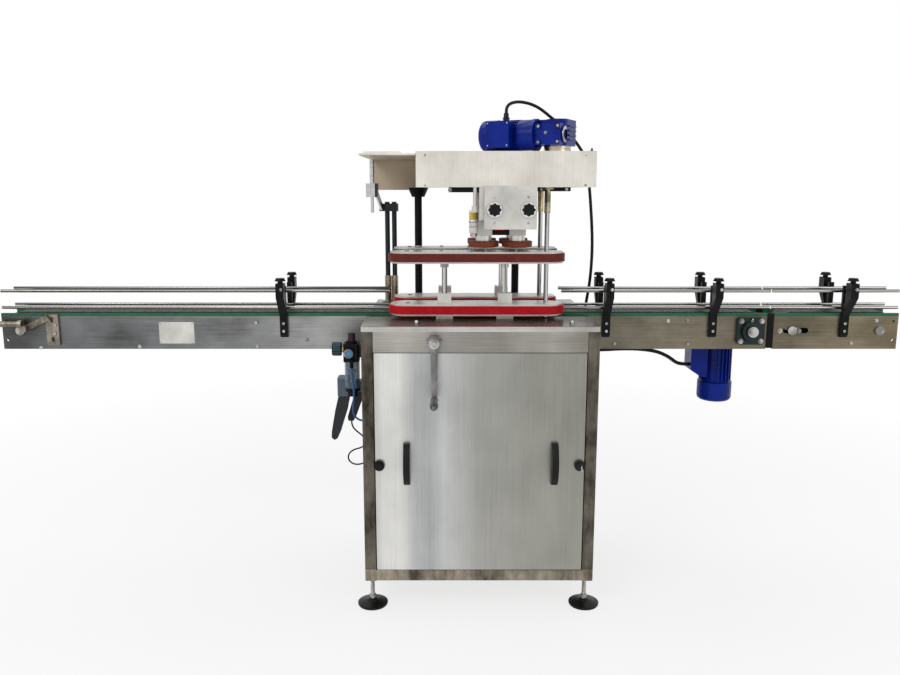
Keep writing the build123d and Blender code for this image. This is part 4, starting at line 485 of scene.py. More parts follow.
# Mask of the bay, left of BAY_RIGHT and below BAY_ROOF, where the painted shade goes.
bay_shade_mask = HEAD_SHEET.math("MULTIPLY", HEAD_SHEET.math("LESS_THAN", HEAD_SHEET.axis("X"), BAY_RIGHT),
                         HEAD_SHEET.math("LESS_THAN", HEAD_SHEET.axis("Z"), BAY_ROOF))
HEAD_SHEET.paint(HEAD_SHEET.mix(bay_shade_mask, HEAD_SHEET.tone, tinted(HEAD_SHEET, BAY_PAINTED_SHADE)))
print("the head's bay begins left of X", BAY_RIGHT)

# %% [markdown]
# ## Bars, crank and pieces of two finishes
#
# The guide rails lie along X and the drive shafts stand along Z, so their painted reflection
# streaks run along those axes. The edges where a finish changes over could be anywhere on a
# piece. Here they lie on its real edges, such as the top of a rubber disc, the step of the
# gearbox's spigot or the top of a post's sleeve, because a change there looks like two pieces
# put together.

# %% Finishes of single pieces
DISC_THICK = 0.0182
SPIGOT_TOP = 0.0249
SOCKET_BOX_BOTTOM = 0.6495
SENSOR_RIGHT = -0.2335
SLEEVE_TOP = 0.984
LOCK_BASE = -0.2491
FITTINGS = two_tone("socket_box", "Z", SOCKET_BOX_BOTTOM, (0.020, 0.024, 0.030), (0.11, 0.14, 0.19),
                    metallic=(0.0, 0.0), roughness=(0.4, 0.45))
RAIL_BAR = polished("rail_bar", (0.40, 0.39, 0.37), 0.2, 0.16, (0.8, 230, 230))
UPRIGHT = polished("upright_bar", (0.60, 0.59, 0.57), 0.16, 0.22, (150, 150, 0.8))
SPINDLE = two_tone("spindle_disc", "Z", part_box("spindle_1_front")[0][2] + DISC_THICK,
                   (0.20, 0.040, 0.014), (0.62, 0.60, 0.56))
SENSOR_TUBE = two_tone("sensor_tube", "X", SENSOR_RIGHT, (0.55, 0.55, 0.56), (0.035, 0.04, 0.045),
                       metallic=(1.0, 0.6), roughness=(0.2, 0.4))
POSTS = two_tone("arm_post", "Z", SLEEVE_TOP, (0.42, 0.37, 0.28), (0.020, 0.024, 0.028),
                 metallic=(1.0, 0.3), roughness=(0.25, 0.35))
KEY_LOCK = two_tone("key_lock", "Y", LOCK_BASE, (0.60, 0.60, 0.60), (0.008, 0.008, 0.009),
                    metallic=(1.0, 0.0), roughness=(0.2, 0.38))
GEARBOX = enamel_on_steel("gearbox_enamel", COBALT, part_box("head_gearbox")[0][2] + SPIGOT_TOP,
                          (0.62, 0.56, 0.44))
CRANK = brushed("crank_steel", (0.06, 0.06, 0.058), (0.30, 0.29, 0.28), 0.3, grain=(80, 80, 12),
                cloud=(20, 20, 14))
GRIP = moulded("crank_grip", (0.05, 0.05, 0.055), 0.3)
END_STEEL = brushed("bracket_steel", (0.10, 0.085, 0.065), (0.36, 0.32, 0.26), 0.32, grain=(60, 60, 30),
                    cloud=(25, 25, 25))
LIFT_PITCH = 0.004
STUD_PITCH = 0.002
LIFT_THREAD = threaded("screw_thread", SCREW_STEEL, LIFT_PITCH)
STUD_THREAD = threaded("stud_thread", SCREW_STEEL, STUD_PITCH)
print("thread pitches:", LIFT_PITCH, STUD_PITCH)

# %% [markdown]
# ## Handing out the finishes
#
# Pieces with a finish of their own get that one, and all others the finish of their
# material. One loop over the model does both, so no piece is left without a finish.

# %% Every piece of the model gets its finish
OWN_FINISH = {
    "door": DOOR_WITH_PAINTED_REFLECTION, "cabinet_frame": FRAME, "cabinet_panels": PANELS, "table_plates": TABLE,
    "conveyor_sides": SIDES, "conveyor_spacers": FINISHES["black_parts"], "guide_rails": RAIL_BAR,
    "sensor_arm": SENSOR_TUBE, "arm_posts": POSTS, "lock_knob_right": KEY_LOCK, "head_housing": HEAD_SHEET,
    "side_fittings": FITTINGS, "head_gearbox": GEARBOX, "crank_arm": CRANK, "crank_grip": GRIP,
    "end_bracket": END_STEEL, "lift_screw": LIFT_THREAD, "foot_studs": STUD_THREAD,
    "grip_posts": UPRIGHT,
}
for row in ("front", "rear"):
    OWN_FINISH.update({row + "_drive_shaft": UPRIGHT, row + "_idler": UPRIGHT,
                       "spindle_1_" + row: SPINDLE, "spindle_2_" + row: SPINDLE})
slot_of = {part["node"]: part["material_slot"] for part in frame["record"]["subparts"]}
for node_name, node in nodes.items():
    finish = OWN_FINISH.get(node_name) or FINISHES[slot_of[node_name]]
    node.data.materials.clear()
    node.data.materials.append(finish.material)
print("pieces with a finish of their own:", len(OWN_FINISH))

# %% [markdown]
# ## Cords
#
# A cable runs from the head's motor down to the cabinet, a conduit feeds the conveyor's
# motor, a thin hose leaves the air unit and a lead hangs from a plug. Each could be a
# simulated rope, but a cable that is clamped at both ends keeps its shape. So each is a
# NURBS curve whose control points are the route that the model's own tube follows. The
# curve becomes a mesh tube with closed ends. The head's cable is laid where it is and bound
# to no body, so it doesn't follow when the head is raised.

# %% Cord tools
MM = 0.001


def route_curve(name, route, radius):
    """A smooth curve with the route's points, given in millimetres, as control points."""
    curve = bpy.data.curves.new(name, "CURVE")
    curve.dimensions = "3D"
    spline = curve.splines.new("NURBS")
    spline.points.add(len(route) - 1)
    for point, place in zip(spline.points, route):
        point.co = (place[0] * MM, place[1] * MM, place[2] * MM, 1.0)
    spline.order_u = 3
    spline.use_endpoint_u = True
    curve.resolution_u = 10
    curve.bevel_depth = radius
    curve.bevel_resolution = 5
    curve.use_fill_caps = True
    return curve


def centre_line(route):
    """Points along the smooth curve, read from the curve itself."""
    curve = route_curve("line", route, 0.0)
    holder = bpy.data.objects.new("line", curve)
    mesh = bpy.data.meshes.new_from_object(holder)
    points = [tuple(vertex.co) for vertex in mesh.vertices]
    bpy.data.objects.remove(holder)
    return points


def length_of(points):
    """The sum of the distances between neighbouring points."""
    steps = np.diff(np.array(points), axis=0)
    return float(np.linalg.norm(steps, axis=1).sum())


def close_ends(mesh):
    """Merge the end caps of a tube with its wall, so that it is one closed surface."""
    work = bmesh.new()
    work.from_mesh(mesh)
    bmesh.ops.remove_doubles(work, verts=work.verts, dist=1e-6)
    bmesh.ops.recalc_face_normals(work, faces=work.faces)
    work.to_mesh(mesh)
    work.free()


def lay_cord(name, route, radius, body, node, finish):
    holder = bpy.data.objects.new(name + "_curve", route_curve(name, route, radius))
    mesh = bpy.data.meshes.new_from_object(holder)
    bpy.data.objects.remove(holder)
    close_ends(mesh)
    mesh.materials.clear()
    mesh.materials.append(finish.material)
    mesh.polygons.foreach_set("use_smooth", [True] * len(mesh.polygons))
    cord = bpy.data.objects.new(name, mesh)
    bpy.context.scene.collection.objects.link(cord)
    line = centre_line(route)
    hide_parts(node)
    if body is not None:
        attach(cord, body)
    print(name, "length", round(length_of(line), 3))
    return cord


# %% [markdown]
# ## The four cords
#
# Each route could be drawn by hand in Blender, but then it would not meet the gland, the
# elbow and the plug exactly. So the points are the ones the model uses, in millimetres. The
# head's cable leaves its gland in a plane of its own, so that arch is written as runs and
# rises from the gland.

# %% The four cords
CABINET_LEFT = -259
CABINET_RIGHT = 436
GLAND = (175.46, 69.44, 1513.5)
ARCH = [
    (0, 0), (0, 9), (2.5, 18), (8.5, 25.5), (18, 31), (30, 34.5), (45, 36.8), (63, 37), (84, 35.2),
    (106, 31), (127, 24.5), (147, 15.8), (166, 5.5), (184, -4.5),
]
HEAD_ROUTE = [(GLAND[0] + 0.83 * run, GLAND[1] + 0.558 * run, GLAND[2] + rise) for run, rise in ARCH] + [
    (345, 178.5, 1497.5), (361, 182, 1484.5), (378, 183, 1470), (394, 181.5, 1452.5), (413, 178, 1430),
    (441, 172, 1388), (450, 164, 1337), (457, 157, 1280), (462, 153, 1222), (467, 151, 1160),
    (470, 150, 1098), (469, 149, 1036), (465, 149, 976), (457, 150, 922), (452, 150, 884),
    (452, 150, 846),
]
MOTOR_Y = 119.5
CONDUIT_ROUTE = [
    (CABINET_RIGHT, 60, 764), (498, 60, 764), (562, 61, 768), (624, 65, 766), (680, 75, 756),
    (722, 90, 736), (750, 104, 714), (772, MOTOR_Y - 5, 705), (798, MOTOR_Y - 5, 705),
]
AIR_X = -295
AIR_Y = -150
HOSE_ROUTE = [
    (AIR_X + 2, AIR_Y - 40, 758), (AIR_X + 2, AIR_Y - 40, 744), (AIR_X + 4, AIR_Y - 38, 722),
    (AIR_X + 7, AIR_Y - 31, 696), (AIR_X + 6, AIR_Y - 21, 668), (AIR_X + 2, AIR_Y - 10, 642),
    (AIR_X, AIR_Y - 2, 622), (AIR_X, AIR_Y + 3, 607), (AIR_X + 4.5, AIR_Y + 6, 596),
    (AIR_X + 13, AIR_Y + 7, 587.5), (AIR_X + 24, AIR_Y + 7, 583), (CABINET_LEFT, AIR_Y + 7, 583),
]
LOOP_ROUTE = [
    (-316, -25, 553), (-316, -25, 538), (-310, -23, 523), (-299, -18, 510), (-287, -11, 498),
    (-278, -2, 484), (-275, 8, 468), (-281, 15, 453), (-294, 18, 444), (-311, 18, 440),
    (-327, 15, 432), (-335, 11, 418), (-331, 8, 403), (-319, 6, 394), (-304, 6, 391),
    (-289, 7, 393.5), (-274, 8, 399), (CABINET_LEFT, 8, 401),
]
head_cord = lay_cord("head_cable_sheath", HEAD_ROUTE, 0.005, None, "head_cable",
                     FINISHES["black_cable"])
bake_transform(head_cord)
lay_cord("motor_conduit", CONDUIT_ROUTE, 0.006, "base", "conveyor_conduit",
         FINISHES["black_cable"])
lay_cord("air_tube", HOSE_ROUTE, 0.003, "base", "air_hose", FINISHES["blue_hose"])
lay_cord("plug_lead", LOOP_ROUTE, 0.0025, "base", "side_cable", FINISHES["black_cable"])

# %% [markdown]
# ## Small shapes
#
# Bolts, plates and small boxes could start from Blender's own cylinders and cubes, but real
# ones have bevels, sockets and washers. So they are lofts: a stack of closed rings of points,
# one above the other, with a flat face at each end. A turned piece has round rings, a bolt
# head has rings of six points, and a plate has rings in the shape of a rounded rectangle.
# numpy works out all rings of a shape at once. Sizes are in millimetres until a piece is made.

# %% Lofts
def loft(rings):
    """Skin over rings: ring i and ring i + 1 are joined by one quad for each pair of points."""
    rings = np.asarray(rings, dtype=float)
    count, sides = rings.shape[:2]
    index = np.arange(count * sides).reshape(count, sides)
    after = np.roll(index, -1, axis=1)
    quads = np.stack([index[:-1], after[:-1], after[1:], index[1:]], axis=-1).reshape(-1, 4)
    faces = quads.tolist() + [index[0][::-1].tolist(), index[-1].tolist()]
    return rings.reshape(-1, 3), faces


def turned(profile, sides):
    """Turned piece: points (r cos a, r sin a, h) for each (r, h) of the profile and angle a."""
    radius, height = np.array(profile, dtype=float).T
    angle = np.linspace(0.0, 2 * np.pi, sides, endpoint=False)
    rings = np.empty((len(radius), sides, 3))
    rings[..., 0] = np.outer(radius, np.cos(angle))
    rings[..., 1] = np.outer(radius, np.sin(angle))
    rings[..., 2] = height[:, None]
    return loft(rings)


RING_SIDES = 48


def ring_of(inner, outer, low, high):
    """A flat ring: its section, a rectangle with small bevels, is carried once round Z."""
    bevel = min(0.3, (outer - inner) / 4, (high - low) / 4)
    section = np.array([
        (inner, low + bevel), (inner + bevel, low), (outer - bevel, low), (outer, low + bevel),
        (outer, high - bevel), (outer - bevel, high), (inner + bevel, high), (inner, high - bevel),
    ])
    angle = np.linspace(0.0, 2 * np.pi, RING_SIDES, endpoint=False)
    points = np.empty((RING_SIDES, len(section), 3))
    points[..., 0] = np.outer(np.cos(angle), section[:, 0])
    points[..., 1] = np.outer(np.sin(angle), section[:, 0])
    points[..., 2] = section[:, 1]
    index = np.arange(points.size // 3).reshape(RING_SIDES, -1)
    around = np.roll(index, -1, axis=0)
    quads = np.stack([index, np.roll(index, -1, axis=1), np.roll(around, -1, axis=1), around],
                     axis=-1)
    return points.reshape(-1, 3), quads.reshape(-1, 4)[:, ::-1].tolist()


print("a disc of 12 sides has", len(turned([(1, 0), (1, 1)], 12)[1]), "faces")


# %% Plates
CORNER_STEPS = 5


def rounded_outline(half_x, half_y, corner):
    """Rounded rectangle: quarter circles of the corner radius about the inner corner points."""
    angle = np.linspace(0.0, np.pi / 2, CORNER_STEPS)
    parts = []
    for turn, (side_x, side_y) in enumerate(((1, 1), (-1, 1), (-1, -1), (1, -1))):
        around = angle + turn * np.pi / 2
        parts.append(np.stack([side_x * (half_x - corner) + corner * np.cos(around),
                               side_y * (half_y - corner) + corner * np.sin(around)], axis=-1))
    return np.concatenate(parts)


def plate(size_x, size_y, thick, corner, bevel):
    """A plate on Z = 0 with rounded corners: outlines inset by the bevel at bottom and top."""
    rings = []
    for inset, height in ((bevel, 0.0), (0.0, bevel), (0.0, thick - bevel), (bevel, thick)):
        outline = rounded_outline(size_x / 2 - inset, size_y / 2 - inset, corner)
        rings.append(np.column_stack([outline, np.full(len(outline), height)]))
    return loft(rings)


print("a plate has", len(plate(10, 10, 2, 1, 0.2)[0]), "points")


# %% Joining and placing
def joined(*shapes):
    """Several shapes as one: the faces of each are counted on from the points before it."""
    points, faces, start = [], [], 0
    for shape_points, shape_faces in shapes:
        points.append(shape_points)
        faces += [[corner + start for corner in face] for face in shape_faces]
        start += len(shape_points)
    return np.concatenate(points), faces


def placed(shape, place, toward=(0, 0, 1), up=(0, 0, 1)):
    """Move a shape's origin to a place and turn its Z axis toward a direction."""
    z_axis = np.array(toward, dtype=float)
    z_axis /= np.linalg.norm(z_axis)
    up = np.array(up, dtype=float)
    if abs(z_axis @ up) > 0.99:
        up = np.array((0.0, 1.0, 0.0))
    x_axis = np.cross(up, z_axis)
    x_axis /= np.linalg.norm(x_axis)
    basis = np.stack([x_axis, np.cross(z_axis, x_axis), z_axis])
    return shape[0] @ basis + np.array(place, dtype=float), shape[1]


def copies(shape, places, toward=(0, 0, 1)):
    """The same shape at several places."""
    return joined(*(placed(shape, place, toward) for place in places))


SMOOTH_ANGLE = 35.0


def add_piece(name, shape, body, slot_name="machined_steel", finish=None):
    """Make a shape a mesh piece on a body, with its slot's finish or with one of its own."""
    finish = finish or FINISHES[slot_name]
    mesh = bpy.data.meshes.new(name)
    mesh.from_pydata((shape[0] * MM).tolist(), [], shape[1])
    mesh.materials.append(finish.material)
    mesh.shade_smooth()
    mesh.set_sharp_from_angle(angle=math.radians(SMOOTH_ANGLE))
    piece = bpy.data.objects.new(name, mesh)
    bpy.context.scene.collection.objects.link(piece)
    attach(piece, body)
    print(name, len(mesh.polygons), "faces")


# %% [markdown]
# ## Fasteners
#
# The machine is held together by hexagon bolts on washers, socket screws and domed screws.
# Each could be a cylinder with a picture of a bolt head, but close up the chamfer and the
# socket are what the light catches. So three short functions turn the profiles of real ones.


# %% Fasteners
def hex_bolt(across, washer=None):
    """A hexagon head on its washer. The head's top edge is chamfered to a circle."""
    washer = washer or across * 0.62
    base = turned([(washer - 0.2, 0.0), (washer, 0.2), (washer, 1.3), (washer - 0.2, 1.5)], 28)
    corner = across / math.sqrt(3)
    head = turned([(corner, 1.5), (corner, across * 0.5), (corner * 0.88, across * 0.58)], 6)
    return joined(base, head)


def socket_screw(radius, height):
    """A round head with a socket: the profile turns down into the middle."""
    rim = height - 0.15 * radius
    return turned([(radius, 0.0), (radius, rim), (radius * 0.85, height),
                   (radius * 0.52, height), (radius * 0.48, height * 0.45)], 24)


def dome(radius, height):
    """A domed head or rivet: a quarter of an ellipse turned about Z."""
    angle = np.linspace(0.0, 1.45, 6)
    return turned(list(zip(radius * np.cos(angle), height * np.sin(angle))), 20)


FRONT = (0, -1, 0)
BACK = (0, 1, 0)
LEFT = (-1, 0, 0)
RIGHT = (1, 0, 0)
CORNERS = [(a, b) for a in (-1, 1) for b in (-1, 1)]
print("bolt points:", len(hex_bolt(13)[0]))

# %% [markdown]
# ## Conveyor bolts
#
# The side plates carry hexagon bolts, and the drive shaft's flange bearing has one at each
# corner, a grease nipple on top and a bright collar round the shaft. The bolts could be
# separate objects. They never move apart, so all of them are joined into one piece, placed
# from a list of positions. The far side has the same bolts as the near one.

# %% Bolts on the conveyor
PLATE_FRONT = -22.5
PLATE_BACK = 82.5
PLATE_BOLTS = [
    (-608.7, 867.6), (-608.1, 791.4), (-452.4, 813.2), (746.8, 874.0), (750.6, 798.8),
    (685.5, 872.4), (-1292, 787.5), (1267.1, 802.0), (-980, 791.4), (-330, 791.4),
    (520, 798.8), (1340, 874.0),
]
SLOT_BOLTS = [(1040.0, 840.5), (1099.9, 840.5)]
bolt_shapes = []
for plate_y, way in ((PLATE_FRONT, FRONT), (PLATE_BACK, BACK)):
    bolt_shapes.append(copies(hex_bolt(10), [(x, plate_y, z) for x, z in PLATE_BOLTS], way))
    bolt_shapes.append(copies(hex_bolt(11, 8), [(x, plate_y, z) for x, z in SLOT_BOLTS], way))
add_piece("conveyor_bolts", joined(*bolt_shapes), "base")

# %% Flange bearing
BEARING_X = 944.0
SHAFT_Z = 842.0
BEARING_REACH = 32.0
BEARING_PLATE = PLATE_FRONT - 14
HOUSING_END = PLATE_FRONT - 34
bearing_bolts = [(BEARING_X + a * BEARING_REACH, BEARING_PLATE, SHAFT_Z + b * BEARING_REACH)
                 for a, b in CORNERS]
nipple = turned([(3.2, 0), (3.2, 3), (2.0, 4), (2.0, 7), (3.0, 8), (2.4, 10), (1.0, 11)], 16)
nipple_place = (BEARING_X, BEARING_PLATE - 6, SHAFT_Z + 31)
add_piece("bearing_bolts",
          joined(copies(hex_bolt(13, 8.5), bearing_bolts, FRONT),
                 placed(nipple, nipple_place, (0, -0.4, 1))),
          "base")
add_piece("bearing_collar",
          placed(ring_of(10.2, 16.5, 0, 1.6), (BEARING_X, HOUSING_END, SHAFT_Z), FRONT),
          "base")

# %% [markdown]
# ## Nameplate
#
# A thin aluminium plate with rounded corners is riveted to the conveyor's side. It stays
# bare. It could be a painted patch, but its edge throws a fine shadow, so it is a real plate
# of 0.8 mm, held by four domed rivets.

# %% Nameplate
NAMEPLATE = (-861.2, PLATE_FRONT, 834.8)
NAMEPLATE_SIZE = (110.7, 68.8)
NAMEPLATE_THICK = 0.8
RIVET_REACH = (51, 30)
rivet_places = [(NAMEPLATE[0] + a * RIVET_REACH[0], PLATE_FRONT - NAMEPLATE_THICK,
                 NAMEPLATE[2] + b * RIVET_REACH[1]) for a, b in CORNERS]
add_piece("nameplate",
          placed(plate(*NAMEPLATE_SIZE, NAMEPLATE_THICK, 3.0, 0.25), NAMEPLATE, FRONT),
          "base", "aluminium_parts")
add_piece("nameplate_rivets", copies(dome(2.4, 1.3), rivet_places, FRONT), "base")

# %% [markdown]
# ## Screws of the brackets
#
# Each black rail bracket is held by two socket screws on its arm and a bolt on its clamp, on
# both sides of the conveyor. The small bracket at the left end has two screws. They could
# be placed by hand, but a loop over bracket positions and sides keeps all brackets alike.

# %% Bracket screws
BRACKETS = (-521.0, 490.0, 824.0, 1237.0)
ARM_SCREW_Z = (842, 866)
CLAMP_Z = 978
screw_shapes = []
for plate_y, way in ((PLATE_FRONT, -1), (PLATE_BACK, 1)):
    arm_y = plate_y + way * 12
    clamp_y = plate_y + way * 60
    facing = (0, way, 0)
    arm_places = [(x, arm_y, z) for x in BRACKETS for z in ARM_SCREW_Z]
    clamp_places = [(x + 5, clamp_y, CLAMP_Z) for x in BRACKETS]
    screw_shapes.append(copies(socket_screw(4.6, 4.0), arm_places, facing))
    screw_shapes.append(copies(hex_bolt(8), clamp_places, facing))
add_piece("bracket_screws", joined(*screw_shapes), "base")

END_PLATE = -30.5
END_BOLTS = [(-1239.5, 860.9), (-1243.3, 833.9)]
end_places = [(x, END_PLATE, z) for x, z in END_BOLTS]
add_piece("end_bracket_bolts", copies(socket_screw(5.5, 4.5), end_places, FRONT), "base")

# %% [markdown]
# ## Table and grip units
#
# Two acorn nuts stand on the table, and small hexagon nuts hold the upper grip plates. The
# height of the grip plates is read from the model, because the nuts have to sit on them.

# %% Table and grip plate nuts
TABLE_TOP = 890.0
TABLE_NUT_X = (-98, 358)
TABLE_NUT_Y = -200
acorn = joined(turned([(9.0, 0), (9.0, 1.5)], 28), turned([(7.5, 1.5), (7.5, 8)], 6),
               placed(dome(6.5, 6.0), (0, 0, 7.5)))
add_piece("table_nuts", copies(acorn, [(x, TABLE_NUT_Y, TABLE_TOP) for x in TABLE_NUT_X]), "base")
GRIP_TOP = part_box("grip_plates")[1][2] / MM
GRIP_NUT_X = (-105, -27.4, 60, 109.7, 201.1, 234.6)
GRIP_ROWS = (-64, 124)
grip_nuts = [(x, y, GRIP_TOP) for x in GRIP_NUT_X for y in GRIP_ROWS]
add_piece("grip_plate_nuts", copies(hex_bolt(8), grip_nuts), "base")

# %% [markdown]
# ## Head
#
# The sheet housing is closed with small domed screws in its front, back and right side. A
# short stud stands on its right corner, and two dark plates with bolts show below its edge.
# They are plain bars with rounded corners, so a plate and two bolts each are enough.

# %% Screws of the head
HEAD_FRONT = -120.0
HEAD_BACK = 315
HEAD_RIGHT = 430
HEAD_TOP = 1390.0
HEAD_SCREWS = [(396.6, 1379.0), (398.1, 1292.0), (-72.9, 1379.0), (-73.4, 1292.0)]
SIDE_SCREWS = [(HEAD_RIGHT, y, z) for y in (-90, 285) for z in (1300, 1376)]
head_dome = dome(3.6, 2.2)
add_piece("head_screws",
          joined(copies(head_dome, [(x, HEAD_FRONT, z) for x, z in HEAD_SCREWS], FRONT),
                 copies(head_dome, [(x, HEAD_BACK, z) for x, z in HEAD_SCREWS], BACK),
                 copies(head_dome, SIDE_SCREWS, RIGHT)),
          "head")
stud = joined(turned([(5, 0), (5, 3)], 6),
              placed(turned([(2.5, 0), (2.5, 6), (2.0, 6.6)], 16), (0, 0, 3)))
add_piece("head_stud", placed(stud, (418, -95, HEAD_TOP)), "head", "black_parts")

# %% Rails under the head
HEAD_BOTTOM = 1286.0
RAIL_DEEP = 15
PLATE_DEEP = 12
rail = placed(plate(103, 16, RAIL_DEEP, 2.0, 0.8), (48, -100, HEAD_BOTTOM - RAIL_DEEP))
right_plate = placed(plate(101, 60, PLATE_DEEP, 2.0, 0.8), (312, -40, HEAD_BOTTOM - PLATE_DEEP))
add_piece("head_rails", joined(rail, right_plate), "head", "black_parts")
rail_places = [(x, -108, HEAD_BOTTOM - 8) for x in (0, 92)]
right_places = [(x, -70, HEAD_BOTTOM - 6) for x in (275, 350)]
add_piece("rail_bolts", joined(copies(hex_bolt(10), rail_places, FRONT),
                               copies(hex_bolt(8), right_places, FRONT)),
          "head")

# %% [markdown]
# ## Knob panel
#
# Each star knob turns in front of a bright dial with a dark edge and forty marks, of which
# every fifth is longer. The marks could be painted on, but a painted line needs a picture.
# Thin plates in a circle stay sharp at any distance. Each knob has a smooth cap of its own
# that turns with it, and four small screws hold the panel.

# %% Dials
def radial_mark(centre, reach, angle, length):
    """A thin bar at (reach cos a, reach sin a) from a centre, pointing away from it."""
    cosine, sine = math.cos(angle), math.sin(angle)
    place = (centre[0] + reach * cosine, centre[1], centre[2] + reach * sine)
    return placed(plate(length, 0.5, 0.15, 0.2, 0.04), place, FRONT, (-sine, 0, cosine))


KNOB_X = (130.0, 229.0)
KNOB_Z = 1221.0
DIAL_FACE = -154.0
DIAL_STEPS = 40
LONG_EVERY = 5
dial_places = [(x, DIAL_FACE, KNOB_Z) for x in KNOB_X]
marks = []
for centre in dial_places:
    for step in range(DIAL_STEPS):
        reach, length = (21.4, 1.6) if step % LONG_EVERY else (20.4, 3.4)
        marks.append(radial_mark(centre, reach, 2 * math.pi * step / DIAL_STEPS, length))
add_piece("dial_marks", joined(*marks), "head", "black_parts")
DIAL_SILVER = polished("dial_silver", (0.90, 0.90, 0.88), 0.3, 0.85)
add_piece("dial_faces", copies(ring_of(12.5, 23.2, 0, 0.1), dial_places, FRONT),
          "head", "aluminium_parts", DIAL_SILVER)
add_piece("dial_edges", copies(ring_of(23.2, 24.0, 0, 0.35), dial_places, FRONT),
          "head", "black_parts")

# %% Knob caps and panel screws
PANEL_Y = -150.0
PANEL_SCREW_Z = (1257.8, 1182.9)
CAP_SINK = 0.55
for knob_name, knob_x in zip(("knob_1", "knob_2"), KNOB_X):
    cap_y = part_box(knob_name)[0][1] / MM + CAP_SINK
    add_piece(knob_name + "_cap", placed(dome(9.5, 0.6), (knob_x, cap_y, KNOB_Z), FRONT),
              knob_name, "black_plastic")
panel_places = [(x, PANEL_Y, z) for x in KNOB_X for z in PANEL_SCREW_Z]
add_piece("panel_screws", copies(socket_screw(3.4, 2.4), panel_places, FRONT), "head")

# %% [markdown]
# ## Air fitting
#
# Left of the panel hangs an air fitting: a steel joint with flats below, a brass barrel above
# it and a white collar on top. All of it is turned on one axis, so each part is a profile of
# radius and height. Eight or six sides in place of many give the flats for a spanner.

# %% Air fitting beside the panel
FITTING_AXIS = (70, -112)
WHITE = moulded("white_plastic", (0.72, 0.70, 0.66), 0.4)
BRASS = polished("bright_brass", (0.62, 0.42, 0.10), 0.2, 0.45)
barrel = turned([(12.5, 0), (13.4, 0.6), (13.4, 20.4), (12.5, 21)], 40)
collar = turned([(13.0, 0), (13.6, 0.8), (13.6, 5.2), (12.0, 6.5)], 40)
eight_flats = turned([(13.8, 0), (14.2, 0.6), (14.2, 4), (13.2, 5), (13.2, 14), (14.2, 15),
                      (14.2, 20), (13.8, 20.6)], 8)
six_flats = turned([(9.6, 0), (10.4, 1), (10.4, 9), (8.2, 11)], 6)
add_piece("fitting_barrel", placed(barrel, (*FITTING_AXIS, 1191)), "head", "brass_bushes", BRASS)
add_piece("fitting_collar", placed(collar, (*FITTING_AXIS, 1212.4)), "head", "white_sheet", WHITE)
add_piece("fitting_joint", joined(placed(eight_flats, (*FITTING_AXIS, 1168)),
                                  placed(six_flats, (*FITTING_AXIS, 1142))),
          "head")

# %% [markdown]
# ## Head gearmotor
#
# The gearbox stands turned on the head. Its worm ends in a machined ring round a bore, whose
# shade is painted as a black cap, screws close its side and the terminal box, and a gland nut
# holds the cable. Their places could be worked out one by one in the machine's axes, but on a
# turned piece that hides what they are. So they are given along the motor, across it and above
# the gearbox's foot.

# %% Directions of the gearmotor
GEAR_TURN = math.radians(-28.0)
GEAR_PLACE = np.array((342.0, 110.0, 1415.0))
ALONG = np.array((math.cos(GEAR_TURN), math.sin(GEAR_TURN), 0.0))
ACROSS = np.array((-math.sin(GEAR_TURN), math.cos(GEAR_TURN), 0.0))
NEAR_SIDE = tuple(-ACROSS)
MOTOR_AXIS = 33.5
WORM_ACROSS = -50.0


def on_gearbox(along, across, height):
    """A place given along the motor, across it and above the gearbox's foot."""
    return tuple(GEAR_PLACE + along * ALONG + across * ACROSS + (0, 0, height))


print("worm axis at", [round(float(value), 1) for value in on_gearbox(0, WORM_ACROSS, MOTOR_AXIS)])

# %% Ring and bore at the worm's end
RING_ALONG = 43.9
BORE_ALONG = 40.5
# The bore is a shallow black cap: painted shade where the hollow of the bore is.
bore_shade = turned([(15.4, 0), (15.4, 1.5), (9, 1.4), (8, 0.4)], 40)
add_piece("worm_ring",
          placed(ring_of(15.5, 25.4, 0, 1.4), on_gearbox(RING_ALONG, WORM_ACROSS, MOTOR_AXIS), ALONG),
          "head")
add_piece("worm_bore_shade",
          placed(bore_shade, on_gearbox(BORE_ALONG, WORM_ACROSS, MOTOR_AXIS), ALONG),
          "head", "black_parts")

# %% Screws and gland nut of the gearmotor
BOSS_SIDE = -87.0
BOX_SIDE = -136.0
BOX_ALONG = -149
boss_screws = [on_gearbox(a * 32, BOSS_SIDE, MOTOR_AXIS + b * 24) for a, b in CORNERS]
box_screws = [on_gearbox(BOX_ALONG + a * 33, BOX_SIDE, MOTOR_AXIS + b * 34) for a, b in CORNERS]
oil_plug = placed(hex_bolt(9), on_gearbox(-8, -82.0, MOTOR_AXIS + 4), NEAR_SIDE)
add_piece("gearmotor_screws", joined(copies(socket_screw(4.4, 1.4), boss_screws, NEAR_SIDE),
                                     copies(dome(2.6, 1.6), box_screws, NEAR_SIDE), oil_plug),
          "head")
gland_foot = on_gearbox(-128, -114, MOTOR_AXIS + 40)
gland_hexagon = turned([(10.5, 6), (11.2, 6.6), (11.2, 11), (10.5, 11.8)], 6)
gland_sleeve = turned([(7.6, 11.8), (8.2, 12.4), (8.2, 22), (6.6, 26)], 24)
add_piece("gland_nut", joined(placed(gland_hexagon, gland_foot), placed(gland_sleeve, gland_foot)),
          "head", "black_plastic")

# %% [markdown]
# ## Spindle heads
#
# A dark block bridges the two front spindle blocks, and a thin red strip shows on its front.
# They could be part of the model's carriage, but they are small and nothing moves on them.
# So they are plain plates with small bevels, and ride the front carriage.

# %% Block between the spindles
add_piece("spindle_bridge", placed(plate(52, 44, 20, 2.0, 0.8), (154, -45, 1143)),
          "front_carriage", "black_parts")
add_piece("spindle_strip", placed(plate(30, 3, 6, 1.0, 0.3), (150, -68.2, 1157)),
          "front_carriage", "red_belt")

